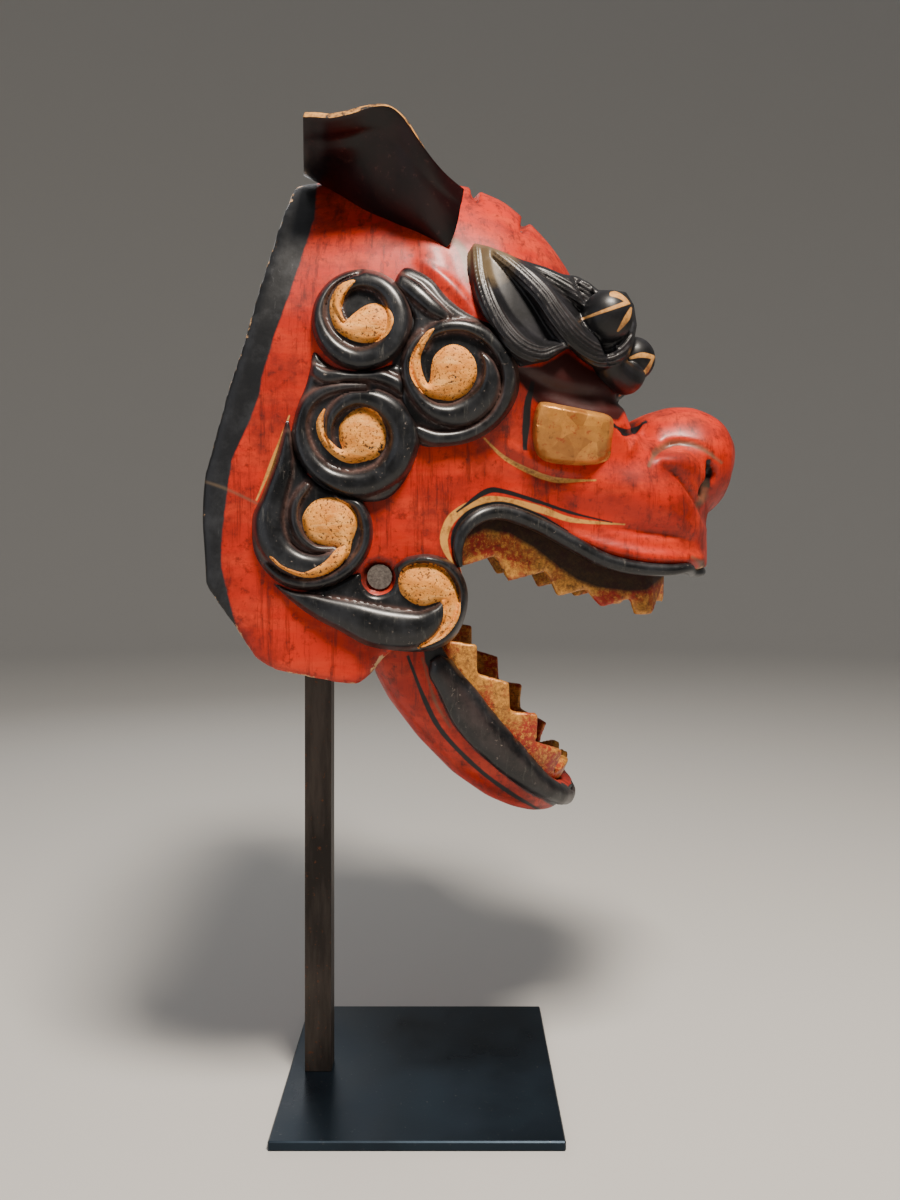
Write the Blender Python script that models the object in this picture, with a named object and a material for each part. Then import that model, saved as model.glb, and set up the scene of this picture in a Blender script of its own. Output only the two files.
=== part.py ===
"""A carved wooden lion dance head with a hinged jaw, on its steel display stand.

Metres, +Z up, +X towards the nose, -Y the lion's right side. The origin is the middle of
the underside of the base plate. The jaw is modelled shut in its own frame, on an empty at
the dowel, and the empty hangs it open.
"""

import math

import bmesh
import bpy
from mathutils import Matrix, Vector

# Driving dimensions, in metres
PLATE_WIDTH = 0.180
PLATE_DEPTH = 0.180
PLATE_THICKNESS = 0.006
PLATE_EDGE = 0.0008
POST_WIDTH = 0.018
POST_INSET = 0.020
REST_BELOW_CROWN = 0.045
REST_LENGTH = 0.060
REST_WIDTH = 0.050

HEAD_LENGTH = 0.336
HEAD_HEIGHT = 0.331
HEAD_WIDTH = 0.226
CHEEK_CLEARANCE = 0.283
HEAD_OVERHANG = 0.054
WALL = 0.009

NOSE_LENGTH = 0.084
NOSE_WIDTH = 0.096
NOSE_HEIGHT = 0.076
NOSTRIL_RADIUS = 0.0075

CURL_RELIEF = 0.009
GOLD_RELIEF = 0.0105
BROW_RELIEF = 0.016
BALL_RADIUS = 0.0165
EYE_LENGTH = 0.046
EYE_HEIGHT = 0.038
EYE_RELIEF = 0.014
LIP_WIDTH = 0.009
LIP_RELIEF = 0.0045

EAR_THICKNESS = 0.005
EAR_REACH = 0.055
EAR_SAG = 0.006

TOOTH_BOARD = 0.005
TOOTH_SINK = 0.002
UPPER_TOOTH = 0.019
LOWER_TOOTH = 0.016
TOOTH_ROOT = 0.013

PIN_RADIUS = 0.0073
PIN_RECESS_RADIUS = 0.0089
PIN_RECESS_DEPTH = 0.004
PIN_SETBACK = 0.0025

JAW_LENGTH = 0.192
JAW_DEPTH = 0.092
JAW_SIDE_GAP = 0.012
JAW_WALL = 0.008
JAW_OPEN = math.radians(28)

SEAT = 0.0003
HAIR_SINK = 0.006
LOCK_SINK = 0.0013
CUTTER_SINK = 0.003
LIP_STEP = 0.002
JAW_TIP = 0.001

# Places worked out from the sizes
POST_X = -PLATE_DEPTH / 2 + POST_INSET
HEAD_BACK = POST_X - HEAD_OVERHANG
PIN_AT = (0.306, 0.192)
PIN_X = HEAD_BACK + PIN_AT[0] * HEAD_LENGTH
PIN_Z = CHEEK_CLEARANCE + PIN_AT[1] * HEAD_HEIGHT
JAW_WIDTH = HEAD_WIDTH - 2 * (WALL + JAW_SIDE_GAP)
NOSE_FROM = 0.748
EAR_FROM = (0.31, 0.80)
CURL_ASPECT = 0.331 / 0.336
FLOOR_V = -0.40
CHEEK_V = 0.36
ARCH_STEPS = 5
ARCH_SQUARENESS = 2.05

# The outer form of the upper head, back to front. along is a share of the head's length,
# crown and shoulder are shares of its height, brow and lip are shares of half its width.
HEAD_SECTIONS = (
    # along, crown, shoulder, brow, lip
    (-0.050, 0.955, 0.560, 0.99, 0.99),
    (0.120, 0.980, 0.565, 1.00, 0.99),
    (0.280, 1.000, 0.580, 1.00, 0.98),
    (0.408, 1.002, 0.580, 1.00, 0.94),
    (0.470, 0.992, 0.570, 0.98, 0.87),
    (0.530, 0.968, 0.560, 0.95, 0.79),
    (0.580, 0.923, 0.540, 0.91, 0.75),
    (0.622, 0.878, 0.520, 0.87, 0.735),
    (0.662, 0.812, 0.495, 0.82, 0.723),
    (0.705, 0.718, 0.460, 0.77, 0.71),
    (0.747, 0.592, 0.415, 0.71, 0.69),
    (0.766, 0.515, 0.400, 0.69, 0.68),
    (0.786, 0.474, 0.390, 0.68, 0.67),
    (0.830, 0.466, 0.385, 0.64, 0.64),
    (0.869, 0.450, 0.380, 0.59, 0.59),
    (0.897, 0.430, 0.375, 0.505, 0.51),
    (0.920, 0.405, 0.370, 0.37, 0.38),
    (0.942, 0.375, 0.362, 0.12, 0.13),
)
# How far a section near the front moves forward when the form is grown
HEAD_FRONT = (0.55, 0.68)
JAW_FRONT = (0.60, 0.85)

# The side view of the cheeks, from the crown's back edge down and along the lip
SIDE_OUTLINE = (
    (0.190, 1.140), (0.172, 0.958), (0.149, 0.915), (0.127, 0.865), (0.096, 0.733),
    (0.066, 0.596), (0.037, 0.487), (0.005, 0.374), (-0.001, 0.305), (-0.001, 0.248),
    (0.005, 0.176), (0.053, 0.108), (0.094, 0.046), (0.143, 0.022), (0.222, 0.007),
    (0.268, 0.001), (0.320, 0.053), (0.342, 0.066), (0.411, 0.071), (0.449, 0.124),
    (0.449, 0.169), (0.438, 0.211), (0.460, 0.230), (0.482, 0.275), (0.527, 0.302),
    (0.592, 0.284), (0.685, 0.233), (0.777, 0.196), (0.870, 0.187), (0.920, 0.198),
    (1.060, 0.204), (1.060, 1.140),
)

# The nose, back to front: along its length, height of its middle, half height, half width
NOSE_SECTIONS = (
    (0.00, 0.440, 0.14, 0.30),
    (0.14, 0.440, 0.26, 0.70),
    (0.32, 0.434, 0.38, 0.94),
    (0.50, 0.424, 0.47, 1.00),
    (0.68, 0.418, 0.50, 1.00),
    (0.82, 0.415, 0.46, 0.92),
    (0.93, 0.420, 0.36, 0.76),
    (1.00, 0.435, 0.18, 0.44),
)

# Each curl: its middle, its radius as a share of the head's length, and its gold comma as
# the middle and radius of the dot and the points of the tail with a half width. A curl stays
# round when the head's length or height changes.
CURLS = (
    {
        "disc": (0.281, 0.634, 0.085),
        "dot": (0.293, 0.627, 0.036),
        "tail": ((0.268, 0.606, 0.009), (0.246, 0.625, 0.010), (0.240, 0.655, 0.009),
                 (0.251, 0.685, 0.006), (0.267, 0.700, 0.002)),
        "band": (),
    },
    {
        "disc": (0.447, 0.527, 0.100),
        "dot": (0.434, 0.542, 0.043),
        "tail": ((0.405, 0.516, 0.010), (0.375, 0.544, 0.010), (0.371, 0.578, 0.009),
                 (0.385, 0.603, 0.006), (0.403, 0.618, 0.002)),
        "band": ((0.350, 0.722, 0.012), (0.392, 0.690, 0.022), (0.430, 0.645, 0.024),
                 (0.470, 0.590, 0.022)),
    },
    {
        "disc": (0.271, 0.432, 0.098),
        "dot": (0.280, 0.444, 0.041),
        "tail": ((0.257, 0.398, 0.010), (0.228, 0.414, 0.010), (0.212, 0.442, 0.008),
                 (0.207, 0.476, 0.002)),
        "band": (),
    },
    {
        "disc": (0.196, 0.268, 0.098),
        "dot": (0.225, 0.288, 0.046),
        "tail": ((0.262, 0.262, 0.010), (0.248, 0.234, 0.011), (0.221, 0.210, 0.011),
                 (0.187, 0.198, 0.009), (0.153, 0.207, 0.006), (0.121, 0.229, 0.002)),
        "band": ((0.192, 0.520, 0.010), (0.168, 0.440, 0.022), (0.158, 0.370, 0.030),
                 (0.180, 0.300, 0.030)),
    },
    {
        "disc": (0.391, 0.140, 0.063),
        "dot": (0.378, 0.176, 0.036),
        "tail": ((0.411, 0.186, 0.008), (0.427, 0.160, 0.010), (0.428, 0.131, 0.011),
                 (0.415, 0.109, 0.009), (0.394, 0.094, 0.006), (0.366, 0.085, 0.002)),
        "band": ((0.150, 0.160, 0.008), (0.220, 0.136, 0.024), (0.290, 0.112, 0.030),
                 (0.350, 0.105, 0.030)),
    },
)

# The brow's locks, root to tip: along, up, half width as a share of the head's length,
# height as a share of the brow's relief
BROW_LOCKS = (
    ((0.459, 0.765, 0.010, 0.35), (0.476, 0.697, 0.026, 0.65), (0.502, 0.640, 0.028, 0.80),
     (0.545, 0.596, 0.024, 0.85), (0.591, 0.576, 0.017, 0.80), (0.628, 0.591, 0.006, 0.40)),
    ((0.490, 0.755, 0.012, 0.40), (0.545, 0.716, 0.030, 0.85), (0.592, 0.668, 0.034, 1.00),
     (0.634, 0.612, 0.032, 1.05), (0.686, 0.580, 0.022, 0.95), (0.726, 0.588, 0.012, 0.70)),
    ((0.520, 0.772, 0.010, 0.35), (0.586, 0.742, 0.024, 0.75), (0.642, 0.712, 0.028, 0.95),
     (0.690, 0.662, 0.024, 1.00)),
)
# The two curled ends of a brow: along, up, half the way out as a share of half the width
BROW_BALLS = (
    (0.706, 0.650, 0.80, 1.00),
    (0.774, 0.598, 0.42, 0.92),
)

# The lock that joins them: along, up, out, radius as a share of a ball's
BROW_BRIDGE = (
    (0.690, 0.585, 0.82, 0.70), (0.725, 0.585, 0.72, 0.80), (0.754, 0.588, 0.58, 0.85),
    (0.772, 0.596, 0.44, 0.70),
)

EYE_AT = (0.652, 0.452)

# The ear, back to front: where it leaves the head (along, up) and where its rim is
# (along, up, share of the ear's reach)
EAR_SECTIONS = (
    ((0.166, 0.915), (0.182, 0.946, 0.96)),
    ((0.220, 0.893), (0.258, 0.951, 1.02)),
    ((0.275, 0.862), (0.328, 0.961, 1.00)),
    ((0.320, 0.840), (0.364, 0.930, 0.94)),
    ((0.364, 0.819), (0.395, 0.896, 0.82)),
    ((0.390, 0.802), (0.425, 0.880, 0.62)),
    ((0.410, 0.790), (0.452, 0.868, 0.44)),
)

# The upper lip's moulding, from the corner of the mouth to the middle of the front
UPPER_LIP_LINE = (
    (0.436, 0.216), (0.446, 0.262), (0.470, 0.300), (0.505, 0.318), (0.545, 0.312),
    (0.600, 0.286), (0.650, 0.256), (0.710, 0.226), (0.775, 0.204), (0.835, 0.194),
    (0.870, 0.192), (0.897, 0.194), (0.917, 0.199), (0.932, 0.203), (0.942, 0.204),
)
# The upper tooth board's zigzag, back to front: along, up
UPPER_TEETH = (
    (0.447, 0.225), (0.455, 0.210), (0.512, 0.228), (0.538, 0.181), (0.606, 0.199),
    (0.628, 0.152), (0.680, 0.165), (0.711, 0.131), (0.766, 0.147), (0.780, 0.116),
)
# The teeth across a mouth's front: along, out as a share of the row's end, size of tooth
UPPER_FRONT_TEETH = (
    (0.806, 0.88, 1.00), (0.838, 0.60, 0.00), (0.845, 0.40, 0.70), (0.850, 0.20, 0.00),
    (0.850, 0.00, 0.70),
)
LOWER_FRONT_TEETH = (
    (0.845, 0.55, 0.80), (0.862, 0.28, 0.00), (0.862, 0.00, 0.80),
)
UPPER_TOOTH_LINE = (
    (0.436, 0.235), (0.470, 0.280), (0.527, 0.300), (0.592, 0.284), (0.685, 0.233),
    (0.777, 0.200), (0.900, 0.195),
)

# The shut jaw in the dowel's frame. along is a share of the jaw's length from the dowel,
# floor a share of its depth, width a share of half its width.
JAW_SECTIONS = (
    # along, floor, width
    (-0.120, -0.32, 1.00),
    (0.060, -0.56, 1.00),
    (0.200, -0.77, 0.970),
    (0.350, -0.92, 0.945),
    (0.510, -1.03, 0.910),
    (0.650, -1.07, 0.860),
    (0.740, -1.06, 0.800),
    (0.810, -1.03, 0.715),
    (0.865, -0.98, 0.590),
    (0.900, -0.90, 0.430),
    (0.920, -0.80, 0.230),
    (0.928, -0.74, 0.080),
)
JAW_OUTLINE = (
    (0.115, -1.20), (0.115, -0.590), (0.050, -0.420), (-0.020, -0.270), (-0.062, -0.150),
    (-0.075, -0.010), (-0.055, 0.110), (0.000, 0.160), (0.075, 0.130), (0.155, 0.000),
    (0.270, -0.218), (0.335, -0.300), (0.400, -0.375), (0.478, -0.450), (0.565, -0.518),
    (0.625, -0.568), (0.700, -0.630), (0.770, -0.685), (0.845, -0.712), (1.000, -0.720),
    (1.000, -1.20),
)
LOWER_LIP_LINE = (
    (0.262, -0.300), (0.325, -0.385), (0.398, -0.465), (0.478, -0.545), (0.565, -0.612),
    (0.650, -0.675), (0.735, -0.735), (0.810, -0.775), (0.865, -0.790), (0.900, -0.795),
    (0.920, -0.795), (0.928, -0.795),
)
LOWER_TEETH = (
    (0.285, 0.35), (0.372, 1.30), (0.415, 0.60), (0.520, 1.40), (0.570, 0.65),
    (0.655, 1.45), (0.695, 0.60), (0.800, 1.10), (0.815, 0.15),
)

COLOURS = {
    # name: colour, roughness, metallic
    "red_lacquer": ((0.56, 0.06, 0.03), 0.35, 0.0),
    "black_lacquer": ((0.015, 0.016, 0.018), 0.38, 0.0),
    "ochre": ((0.66, 0.30, 0.08), 0.6, 0.0),
    "gold_leaf": ((0.55, 0.28, 0.06), 0.4, 0.6),
    "maroon_lacquer": ((0.03, 0.004, 0.005), 0.25, 0.0),
    "dowel_wood": ((0.18, 0.13, 0.10), 0.7, 0.0),
    "bar_steel": ((0.10, 0.08, 0.07), 0.5, 0.8),
    "plate_steel": ((0.012, 0.025, 0.035), 0.35, 0.8),
}


def clear_scene():
    for obj in list(bpy.context.scene.objects):
        bpy.data.objects.remove(obj, do_unlink=True)


def material(name):
    found = bpy.data.materials.get(name)
    if found:
        return found
    colour, roughness, metallic = COLOURS[name]
    made = bpy.data.materials.new(name)
    made.use_nodes = True
    shader = made.node_tree.nodes["Principled BSDF"]
    shader.inputs["Base Color"].default_value = (*colour, 1.0)
    shader.inputs["Roughness"].default_value = roughness
    shader.inputs["Metallic"].default_value = metallic
    made.diffuse_color = (*colour, 1.0)
    return made


def place(mesh_data, name, finish, parent=None, smooth=True):
    """Turn a bmesh into a named object with its finish."""
    bmesh.ops.remove_doubles(mesh_data, verts=mesh_data.verts, dist=1e-6)
    bmesh.ops.recalc_face_normals(mesh_data, faces=mesh_data.faces)
    mesh = bpy.data.meshes.new(name)
    mesh_data.to_mesh(mesh)
    mesh_data.free()
    if smooth:
        mesh.shade_smooth()
        mesh.set_sharp_from_angle(angle=math.radians(40))
    obj = bpy.data.objects.new(name, mesh)
    bpy.context.scene.collection.objects.link(obj)
    if finish:
        mesh.materials.append(material(finish))
    if parent:
        obj.parent = parent
    return obj


def helper(mesh_data, name, parent=None):
    """Turn a bmesh into a cutter or a guide, which isn't part of the object."""
    obj = place(mesh_data, name, None, parent, smooth=False)
    obj.hide_render = True
    obj.display_type = "WIRE"
    return obj


def boolean(obj, operation, other):
    modifier = obj.modifiers.new(f"{operation.lower()}_{other.name}", "BOOLEAN")
    modifier.operation = operation
    modifier.solver = "EXACT"
    modifier.object = other
    modifier.use_self = operation == "UNION"


def ring(mesh_data, points):
    """Add a closed loop of edges through the points."""
    verts = [mesh_data.verts.new(point) for point in points]
    for here, after in zip(verts, verts[1:] + verts[:1]):
        mesh_data.edges.new((here, after))
    return verts


def loft(sections):
    """Skin closed sections of as many points each, with flat ends.

    Each four-sided face is split the same way in every copy of a form, so that a grown
    copy keeps its distance all over.
    """
    mesh_data = bmesh.new()
    rings = [ring(mesh_data, points) for points in sections]
    for first, second in zip(rings, rings[1:]):
        count = len(first)
        for i in range(count):
            after = (i + 1) % count
            mesh_data.faces.new((first[i], first[after], second[after], second[i]))
    mesh_data.faces.new(rings[0])
    mesh_data.faces.new(rings[-1])
    skin = [face for face in mesh_data.faces if len(face.verts) == 4]
    bmesh.ops.triangulate(mesh_data, faces=skin, quad_method="FIXED")
    return mesh_data


def prism(outline, half_width):
    """Extrude an outline in X and Z to both sides."""
    return loft([[Vector((x, side * half_width, z)) for x, z in outline] for side in (-1, 1)])


def box(low, high):
    mesh_data = bmesh.new()
    bmesh.ops.create_cube(mesh_data, size=1.0)
    size = Vector(high) - Vector(low)
    middle = (Vector(high) + Vector(low)) / 2
    bmesh.ops.scale(mesh_data, vec=size, verts=mesh_data.verts)
    bmesh.ops.translate(mesh_data, vec=middle, verts=mesh_data.verts)
    return mesh_data


def rod(x, z, radius, y_from, y_to, sides=20):
    """A round bar along Y."""
    mesh_data = bmesh.new()
    turn = Matrix.Translation((x, (y_from + y_to) / 2, z)) @ Matrix.Rotation(math.pi / 2, 4, "X")
    bmesh.ops.create_cone(
        mesh_data, cap_ends=True, segments=sides, radius1=radius, radius2=radius,
        depth=abs(y_to - y_from), matrix=turn,
    )
    return mesh_data


def smooth_path(rows, steps):
    """Points of a smooth curve through the rows, each a tuple of numbers."""
    path = []
    last = len(rows) - 1
    for i in range(last):
        before, start, end, after = (rows[max(i - 1, 0)], rows[i], rows[i + 1],
                                     rows[min(i + 2, last)])
        for step in range(steps):
            t = step / steps
            path.append(tuple(
                0.5 * (2 * b + (c - a) * t + (2 * a - 5 * b + 4 * c - d) * t * t
                       + (3 * b - a - 3 * c + d) * t ** 3)
                for a, b, c, d in zip(before, start, end, after)
            ))
    path.append(tuple(rows[-1]))
    return path


def between(table, at, column):
    """Read a column of a table at a place along it."""
    if at <= table[0][0]:
        return table[0][column]
    for low, high in zip(table, table[1:]):
        if at <= high[0]:
            share = (at - low[0]) / (high[0] - low[0])
            return low[column] + (high[column] - low[column]) * share
    return table[-1][column]


def front_shift(along, starts, full):
    """How far a section moves forward as its form grows: 0 at the back, 1 at the front."""
    return min(max((along - starts) / (full - starts), 0), 1)


def inner_half(table, column, fronts, length, half_width, wall, along):
    """Half width of the hollow inside a form at a place along it."""
    shrunk = [(row[0] - wall * front_shift(row[0], *fronts) / length,
               row[column] * half_width - wall) for row in table]
    return between(shrunk, along, 1)


def head_x(along):
    return HEAD_BACK + along * HEAD_LENGTH


def head_z(up):
    return CHEEK_CLEARANCE + up * HEAD_HEIGHT


def half_section(row, grow=0.0):
    """Half of a section of the head as (out, up) pairs, from the floor to the crown."""
    along, crown, shoulder, brow, lip = row
    half = HEAD_WIDTH / 2
    wide, narrow = brow * half + grow, lip * half + grow
    shoulder_z, crown_z = head_z(shoulder), head_z(crown) + grow
    points = [(narrow, head_z(FLOOR_V)), (narrow, head_z(0.14)), (narrow, head_z(CHEEK_V))]
    points += [(wide, shoulder_z)]
    squareness = ARCH_SQUARENESS
    for i in range(1, ARCH_STEPS):
        angle = i / ARCH_STEPS * math.pi / 2
        points.append((
            max(wide, 1e-4) * math.cos(angle) ** (2 / squareness),
            shoulder_z + (crown_z - shoulder_z) * math.sin(angle) ** (2 / squareness),
        ))
    points.append((0.0, crown_z))
    return points


def head_form(grow=0.0, front_rows=len(HEAD_SECTIONS)):
    """The solid outer form of the head, grown or shrunk."""
    sections = []
    for row in HEAD_SECTIONS[:front_rows]:
        forward = front_shift(row[0], *HEAD_FRONT)
        backward = 1.0 if row is HEAD_SECTIONS[0] else 0.0
        x = head_x(row[0]) + grow * (forward - backward)
        if row is HEAD_SECTIONS[0] and grow < 0:
            x = head_x(row[0]) + grow
        right = half_section(row, grow)
        loop = [Vector((x, -out, z)) for out, z in right]
        loop += [Vector((x, out, z)) for out, z in reversed(right[:-1])]
        sections.append(loop)
    return loft(sections)


def wall_at(along, up):
    """Half width of the head's outer form at a place in the side view."""
    row = [along] + [between(HEAD_SECTIONS, along, column) for column in range(1, 5)]
    points = half_section(row)
    z = head_z(up)
    for (out_a, z_a), (out_b, z_b) in zip(points, points[1:]):
        if z_a <= z <= z_b:
            return out_a + (out_b - out_a) * (z - z_a) / max(z_b - z_a, 1e-9)
    return 0.0


def curl_rows(curl, rows):
    """A curl's rows, their heights kept in step with its width about its middle."""
    middle = curl["disc"][1]
    step = CURL_ASPECT * HEAD_LENGTH / HEAD_HEIGHT
    return [(along, middle + (up - middle) * step, *rest) for along, up, *rest in rows]


def dome(middle, radii, relief, side, spokes=12, grow=0.0):
    """A low round boss on the wall, centre (along, up), radii along and up in metres."""
    along, up = middle
    sink = HAIR_SINK + (CUTTER_SINK if grow else 0)
    levels = ((1.0, -sink), (1.0, 0.10 * relief), (0.88, 0.60 * relief),
              (0.50, 0.95 * relief))
    loops = []
    for share, height in levels:
        loop = []
        for i in range(spokes):
            angle = i / spokes * math.tau
            x = head_x(along) + (radii[0] + grow) * share * math.cos(angle)
            z = head_z(up) + (radii[1] + grow) * share * math.sin(angle)
            out = wall_at((x - HEAD_BACK) / HEAD_LENGTH, (z - CHEEK_CLEARANCE) / HEAD_HEIGHT)
            loop.append(Vector((x, side * (out + height + grow), z)))
        loops.append(loop)
    return loft(loops)


def lock(rows, relief, side, steps=3, grow=0.0, shape=8):
    """A lock of hair laid on the wall along (along, up, half width, height) rows."""
    sink = HAIR_SINK + (CUTTER_SINK + LOCK_SINK if grow else LOCK_SINK)
    path = smooth_path(rows, steps)
    places = [Vector((head_x(row[0]), head_z(row[1]))) for row in path]
    sections = []
    for i, (row, here) in enumerate(zip(path, places)):
        heading = places[min(i + 1, len(places) - 1)] - places[max(i - 1, 0)]
        heading.normalize()
        across = Vector((-heading.y, heading.x))
        half = row[2] * HEAD_LENGTH + grow
        height = row[3] * relief + grow
        loop = []
        for k in range(shape + 1):
            angle = k / shape * math.pi
            spot = here + across * half * math.cos(angle)
            out = wall_at((spot.x - HEAD_BACK) / HEAD_LENGTH,
                          (spot.y - CHEEK_CLEARANCE) / HEAD_HEIGHT)
            rise = height * math.sin(angle) ** 0.8
            loop.append(Vector((spot.x, side * (out + rise), spot.y)))
        for edge in (-1, 1):
            spot = here + across * half * edge
            out = wall_at((spot.x - HEAD_BACK) / HEAD_LENGTH,
                          (spot.y - CHEEK_CLEARANCE) / HEAD_HEIGHT)
            loop.append(Vector((spot.x, side * (out - sink), spot.y)))
        sections.append(loop)
    return loft(sections)


def ball(middle, radius, name, parent=None):
    mesh_data = bmesh.new()
    bmesh.ops.create_uvsphere(
        mesh_data, u_segments=8, v_segments=6, radius=radius,
        matrix=Matrix.Translation(middle),
    )
    return helper(mesh_data, name, parent)


def tube(stations, radii, sides=7):
    """A round lock through points in space."""
    sections = []
    last = len(stations) - 1
    for i, (here, radius) in enumerate(zip(stations, radii)):
        heading = (stations[min(i + 1, last)] - stations[max(i - 1, 0)]).normalized()
        across = heading.cross(Vector((0, 0, 1))).normalized()
        upward = across.cross(heading).normalized()
        sections.append([
            here + radius * (across * math.cos(k / sides * math.tau)
                             + upward * math.sin(k / sides * math.tau))
            for k in range(sides)
        ])
    return loft(sections)


def band(line, half_width, relief, wall, to_point, parent=None):
    """A moulding round a lip: line is (along, up) rows to the middle of the front."""
    path = smooth_path(line, 1)
    right = [(to_point(along, up), wall(along, up)) for along, up in path]
    stations = [Vector((x, -out, z)) for (x, z), out in right]
    stations += [Vector((p.x, -p.y, p.z)) for p in reversed(stations)]
    merged = [stations[0]]
    for point in stations[1:]:
        if (point - merged[-1]).length > LIP_STEP:
            merged.append(point)
    sections = []
    last = len(merged) - 1
    for i, here in enumerate(merged):
        heading = merged[min(i + 1, last)] - merged[max(i - 1, 0)]
        heading.normalize()
        outward = heading.cross(Vector((0, 0, 1)))
        outward.normalize()
        upward = outward.cross(heading)
        upward.normalize()
        loop = []
        for k in range(5):
            angle = k / 5 * math.tau
            loop.append(here + outward * relief * math.cos(angle)
                        + upward * half_width * math.sin(angle))
        sections.append(loop)
    return loft(sections)


def build_stand(seat_form):
    plate = box((-PLATE_DEPTH / 2, -PLATE_WIDTH / 2, 0), (PLATE_DEPTH / 2, PLATE_WIDTH / 2,
                                                           PLATE_THICKNESS))
    edges = list(plate.edges)
    bmesh.ops.bevel(plate, geom=edges, offset=PLATE_EDGE, offset_type="OFFSET", segments=1,
                    profile=0.5, affect="EDGES", material=-1)
    place(plate, "base_plate", "plate_steel", smooth=False)

    top = head_z(1.0) - WALL - REST_BELOW_CROWN
    half = POST_WIDTH / 2
    rest_x = POST_X + HEAD_OVERHANG + REST_LENGTH / 2
    outline = (
        (POST_X - half, PLATE_THICKNESS + SEAT), (POST_X + half, PLATE_THICKNESS + SEAT),
        (POST_X + half, top - POST_WIDTH), (rest_x + REST_LENGTH / 2, top - POST_WIDTH),
        (rest_x + REST_LENGTH / 2, top), (POST_X - half, top),
    )
    rest = box((rest_x - REST_LENGTH / 2, -REST_WIDTH / 2, top - POST_WIDTH / 2),
               (rest_x + REST_LENGTH / 2, REST_WIDTH / 2, head_z(1.0)))
    post = place(rest, "post", "bar_steel", smooth=False)
    boolean(post, "INTERSECT", seat_form)
    boolean(post, "UNION", helper(prism(outline, half), "post_bar"))


def build_head(outer, hollow):
    shell = place(head_form(), "head_shell", "red_lacquer")
    outline = [(head_x(along), head_z(up)) for along, up in SIDE_OUTLINE]
    trim = helper(prism(outline, HEAD_WIDTH), "cheek_outline")
    nose_back = head_x(NOSE_FROM)
    sections = []
    for along, middle, high, wide in NOSE_SECTIONS:
        x = nose_back + along * NOSE_LENGTH
        loop = []
        for i in range(12):
            angle = i / 12 * math.tau
            loop.append(Vector((x, wide * NOSE_WIDTH / 2 * math.cos(angle),
                                head_z(middle) + high * NOSE_HEIGHT * math.sin(angle))))
        sections.append(loop)
    nose = helper(loft(sections), "nose_form")
    boolean(shell, "UNION", nose)
    boolean(shell, "DIFFERENCE", hollow)
    boolean(shell, "INTERSECT", trim)
    for side, word in ((-1, "right"), (1, "left")):
        tip = Vector((nose_back + NOSE_LENGTH * 0.90, side * NOSE_WIDTH * 0.26,
                      head_z(0.405)))
        boolean(shell, "DIFFERENCE", ball(tip, NOSTRIL_RADIUS, f"nostril_{word}"))
        boolean(shell, "DIFFERENCE", pin_recess(side))
    through = rod(PIN_X, PIN_Z, PIN_RADIUS + SEAT, -HEAD_WIDTH, HEAD_WIDTH)
    boolean(shell, "DIFFERENCE", helper(through, "pin_hole"))


def pin_recess(side):
    word = "right" if side < 0 else "left"
    found = bpy.data.objects.get(f"pin_recess_{word}")
    if found:
        return found
    face = wall_at(*PIN_AT)
    start = side * (face - PIN_RECESS_DEPTH)
    return helper(rod(PIN_X, PIN_Z, PIN_RECESS_RADIUS, start, side * HEAD_WIDTH),
                  f"pin_recess_{word}")


def build_pin():
    end = wall_at(*PIN_AT) - PIN_SETBACK
    place(rod(PIN_X, PIN_Z, PIN_RADIUS, -end, end), "jaw_pin", "dowel_wood")


def gold_comma(curl, number, side, word, grow=0.0):
    """The comma of a curl, as a boss with a tail: (boss bmesh, tail bmesh)."""
    (along, up, radius), = curl_rows(curl, [curl["dot"]])
    size = radius * HEAD_LENGTH
    boss = dome((along, up), (size, size * 0.88), GOLD_RELIEF, side, 10, grow)
    tail_rows = curl_rows(curl, curl["tail"])
    first = tail_rows[0]
    root = ((along + first[0]) / 2, (up + first[1]) / 2, first[2])
    rows = [(a, u, half, 0.90 - 0.10 * i)
            for i, (a, u, half) in enumerate([root] + tail_rows)]
    tail = lock(rows, GOLD_RELIEF, side, 1, grow, 3)
    return boss, tail


def build_curls(outer):
    for side, word in ((-1, "right"), (1, "left")):
        earlier = []
        for number, curl in enumerate(CURLS, start=1):
            tag = f"{word}_{number}"
            boss, tail = gold_comma(curl, number, side, word)
            gold = place(boss, f"curl_gold_{tag}", "ochre")
            boolean(gold, "UNION", helper(tail, f"tail_{tag}"))
            boolean(gold, "DIFFERENCE", outer)
            boss, tail = gold_comma(curl, number, side, word, SEAT)
            pocket = helper(boss, f"gold_pocket_{tag}")
            boolean(pocket, "UNION", helper(tail, f"tail_pocket_{tag}"))

            along, up, radius = curl["disc"]
            size = radius * HEAD_LENGTH
            black = place(dome((along, up), (size, size), CURL_RELIEF, side),
                          f"curl_{tag}", "black_lacquer")
            guard = helper(dome((along, up), (size, size), CURL_RELIEF, side, 12, SEAT),
                           f"guard_{tag}")
            if curl["band"]:
                rows = [(a, u, half, 0.72) for a, u, half in curl_rows(curl, curl["band"])]
                boolean(black, "UNION", helper(lock(rows, CURL_RELIEF, side, 1, 0.0, 5),
                                               f"band_{tag}"))
                boolean(guard, "UNION", helper(lock(rows, CURL_RELIEF, side, 1, SEAT, 5),
                                               f"guard_band_{tag}"))
            boolean(black, "DIFFERENCE", outer)
            boolean(black, "DIFFERENCE", pocket)
            for other in earlier:
                boolean(black, "DIFFERENCE", other)
            boolean(black, "DIFFERENCE", pin_recess(side))
            earlier.append(guard)


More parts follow.
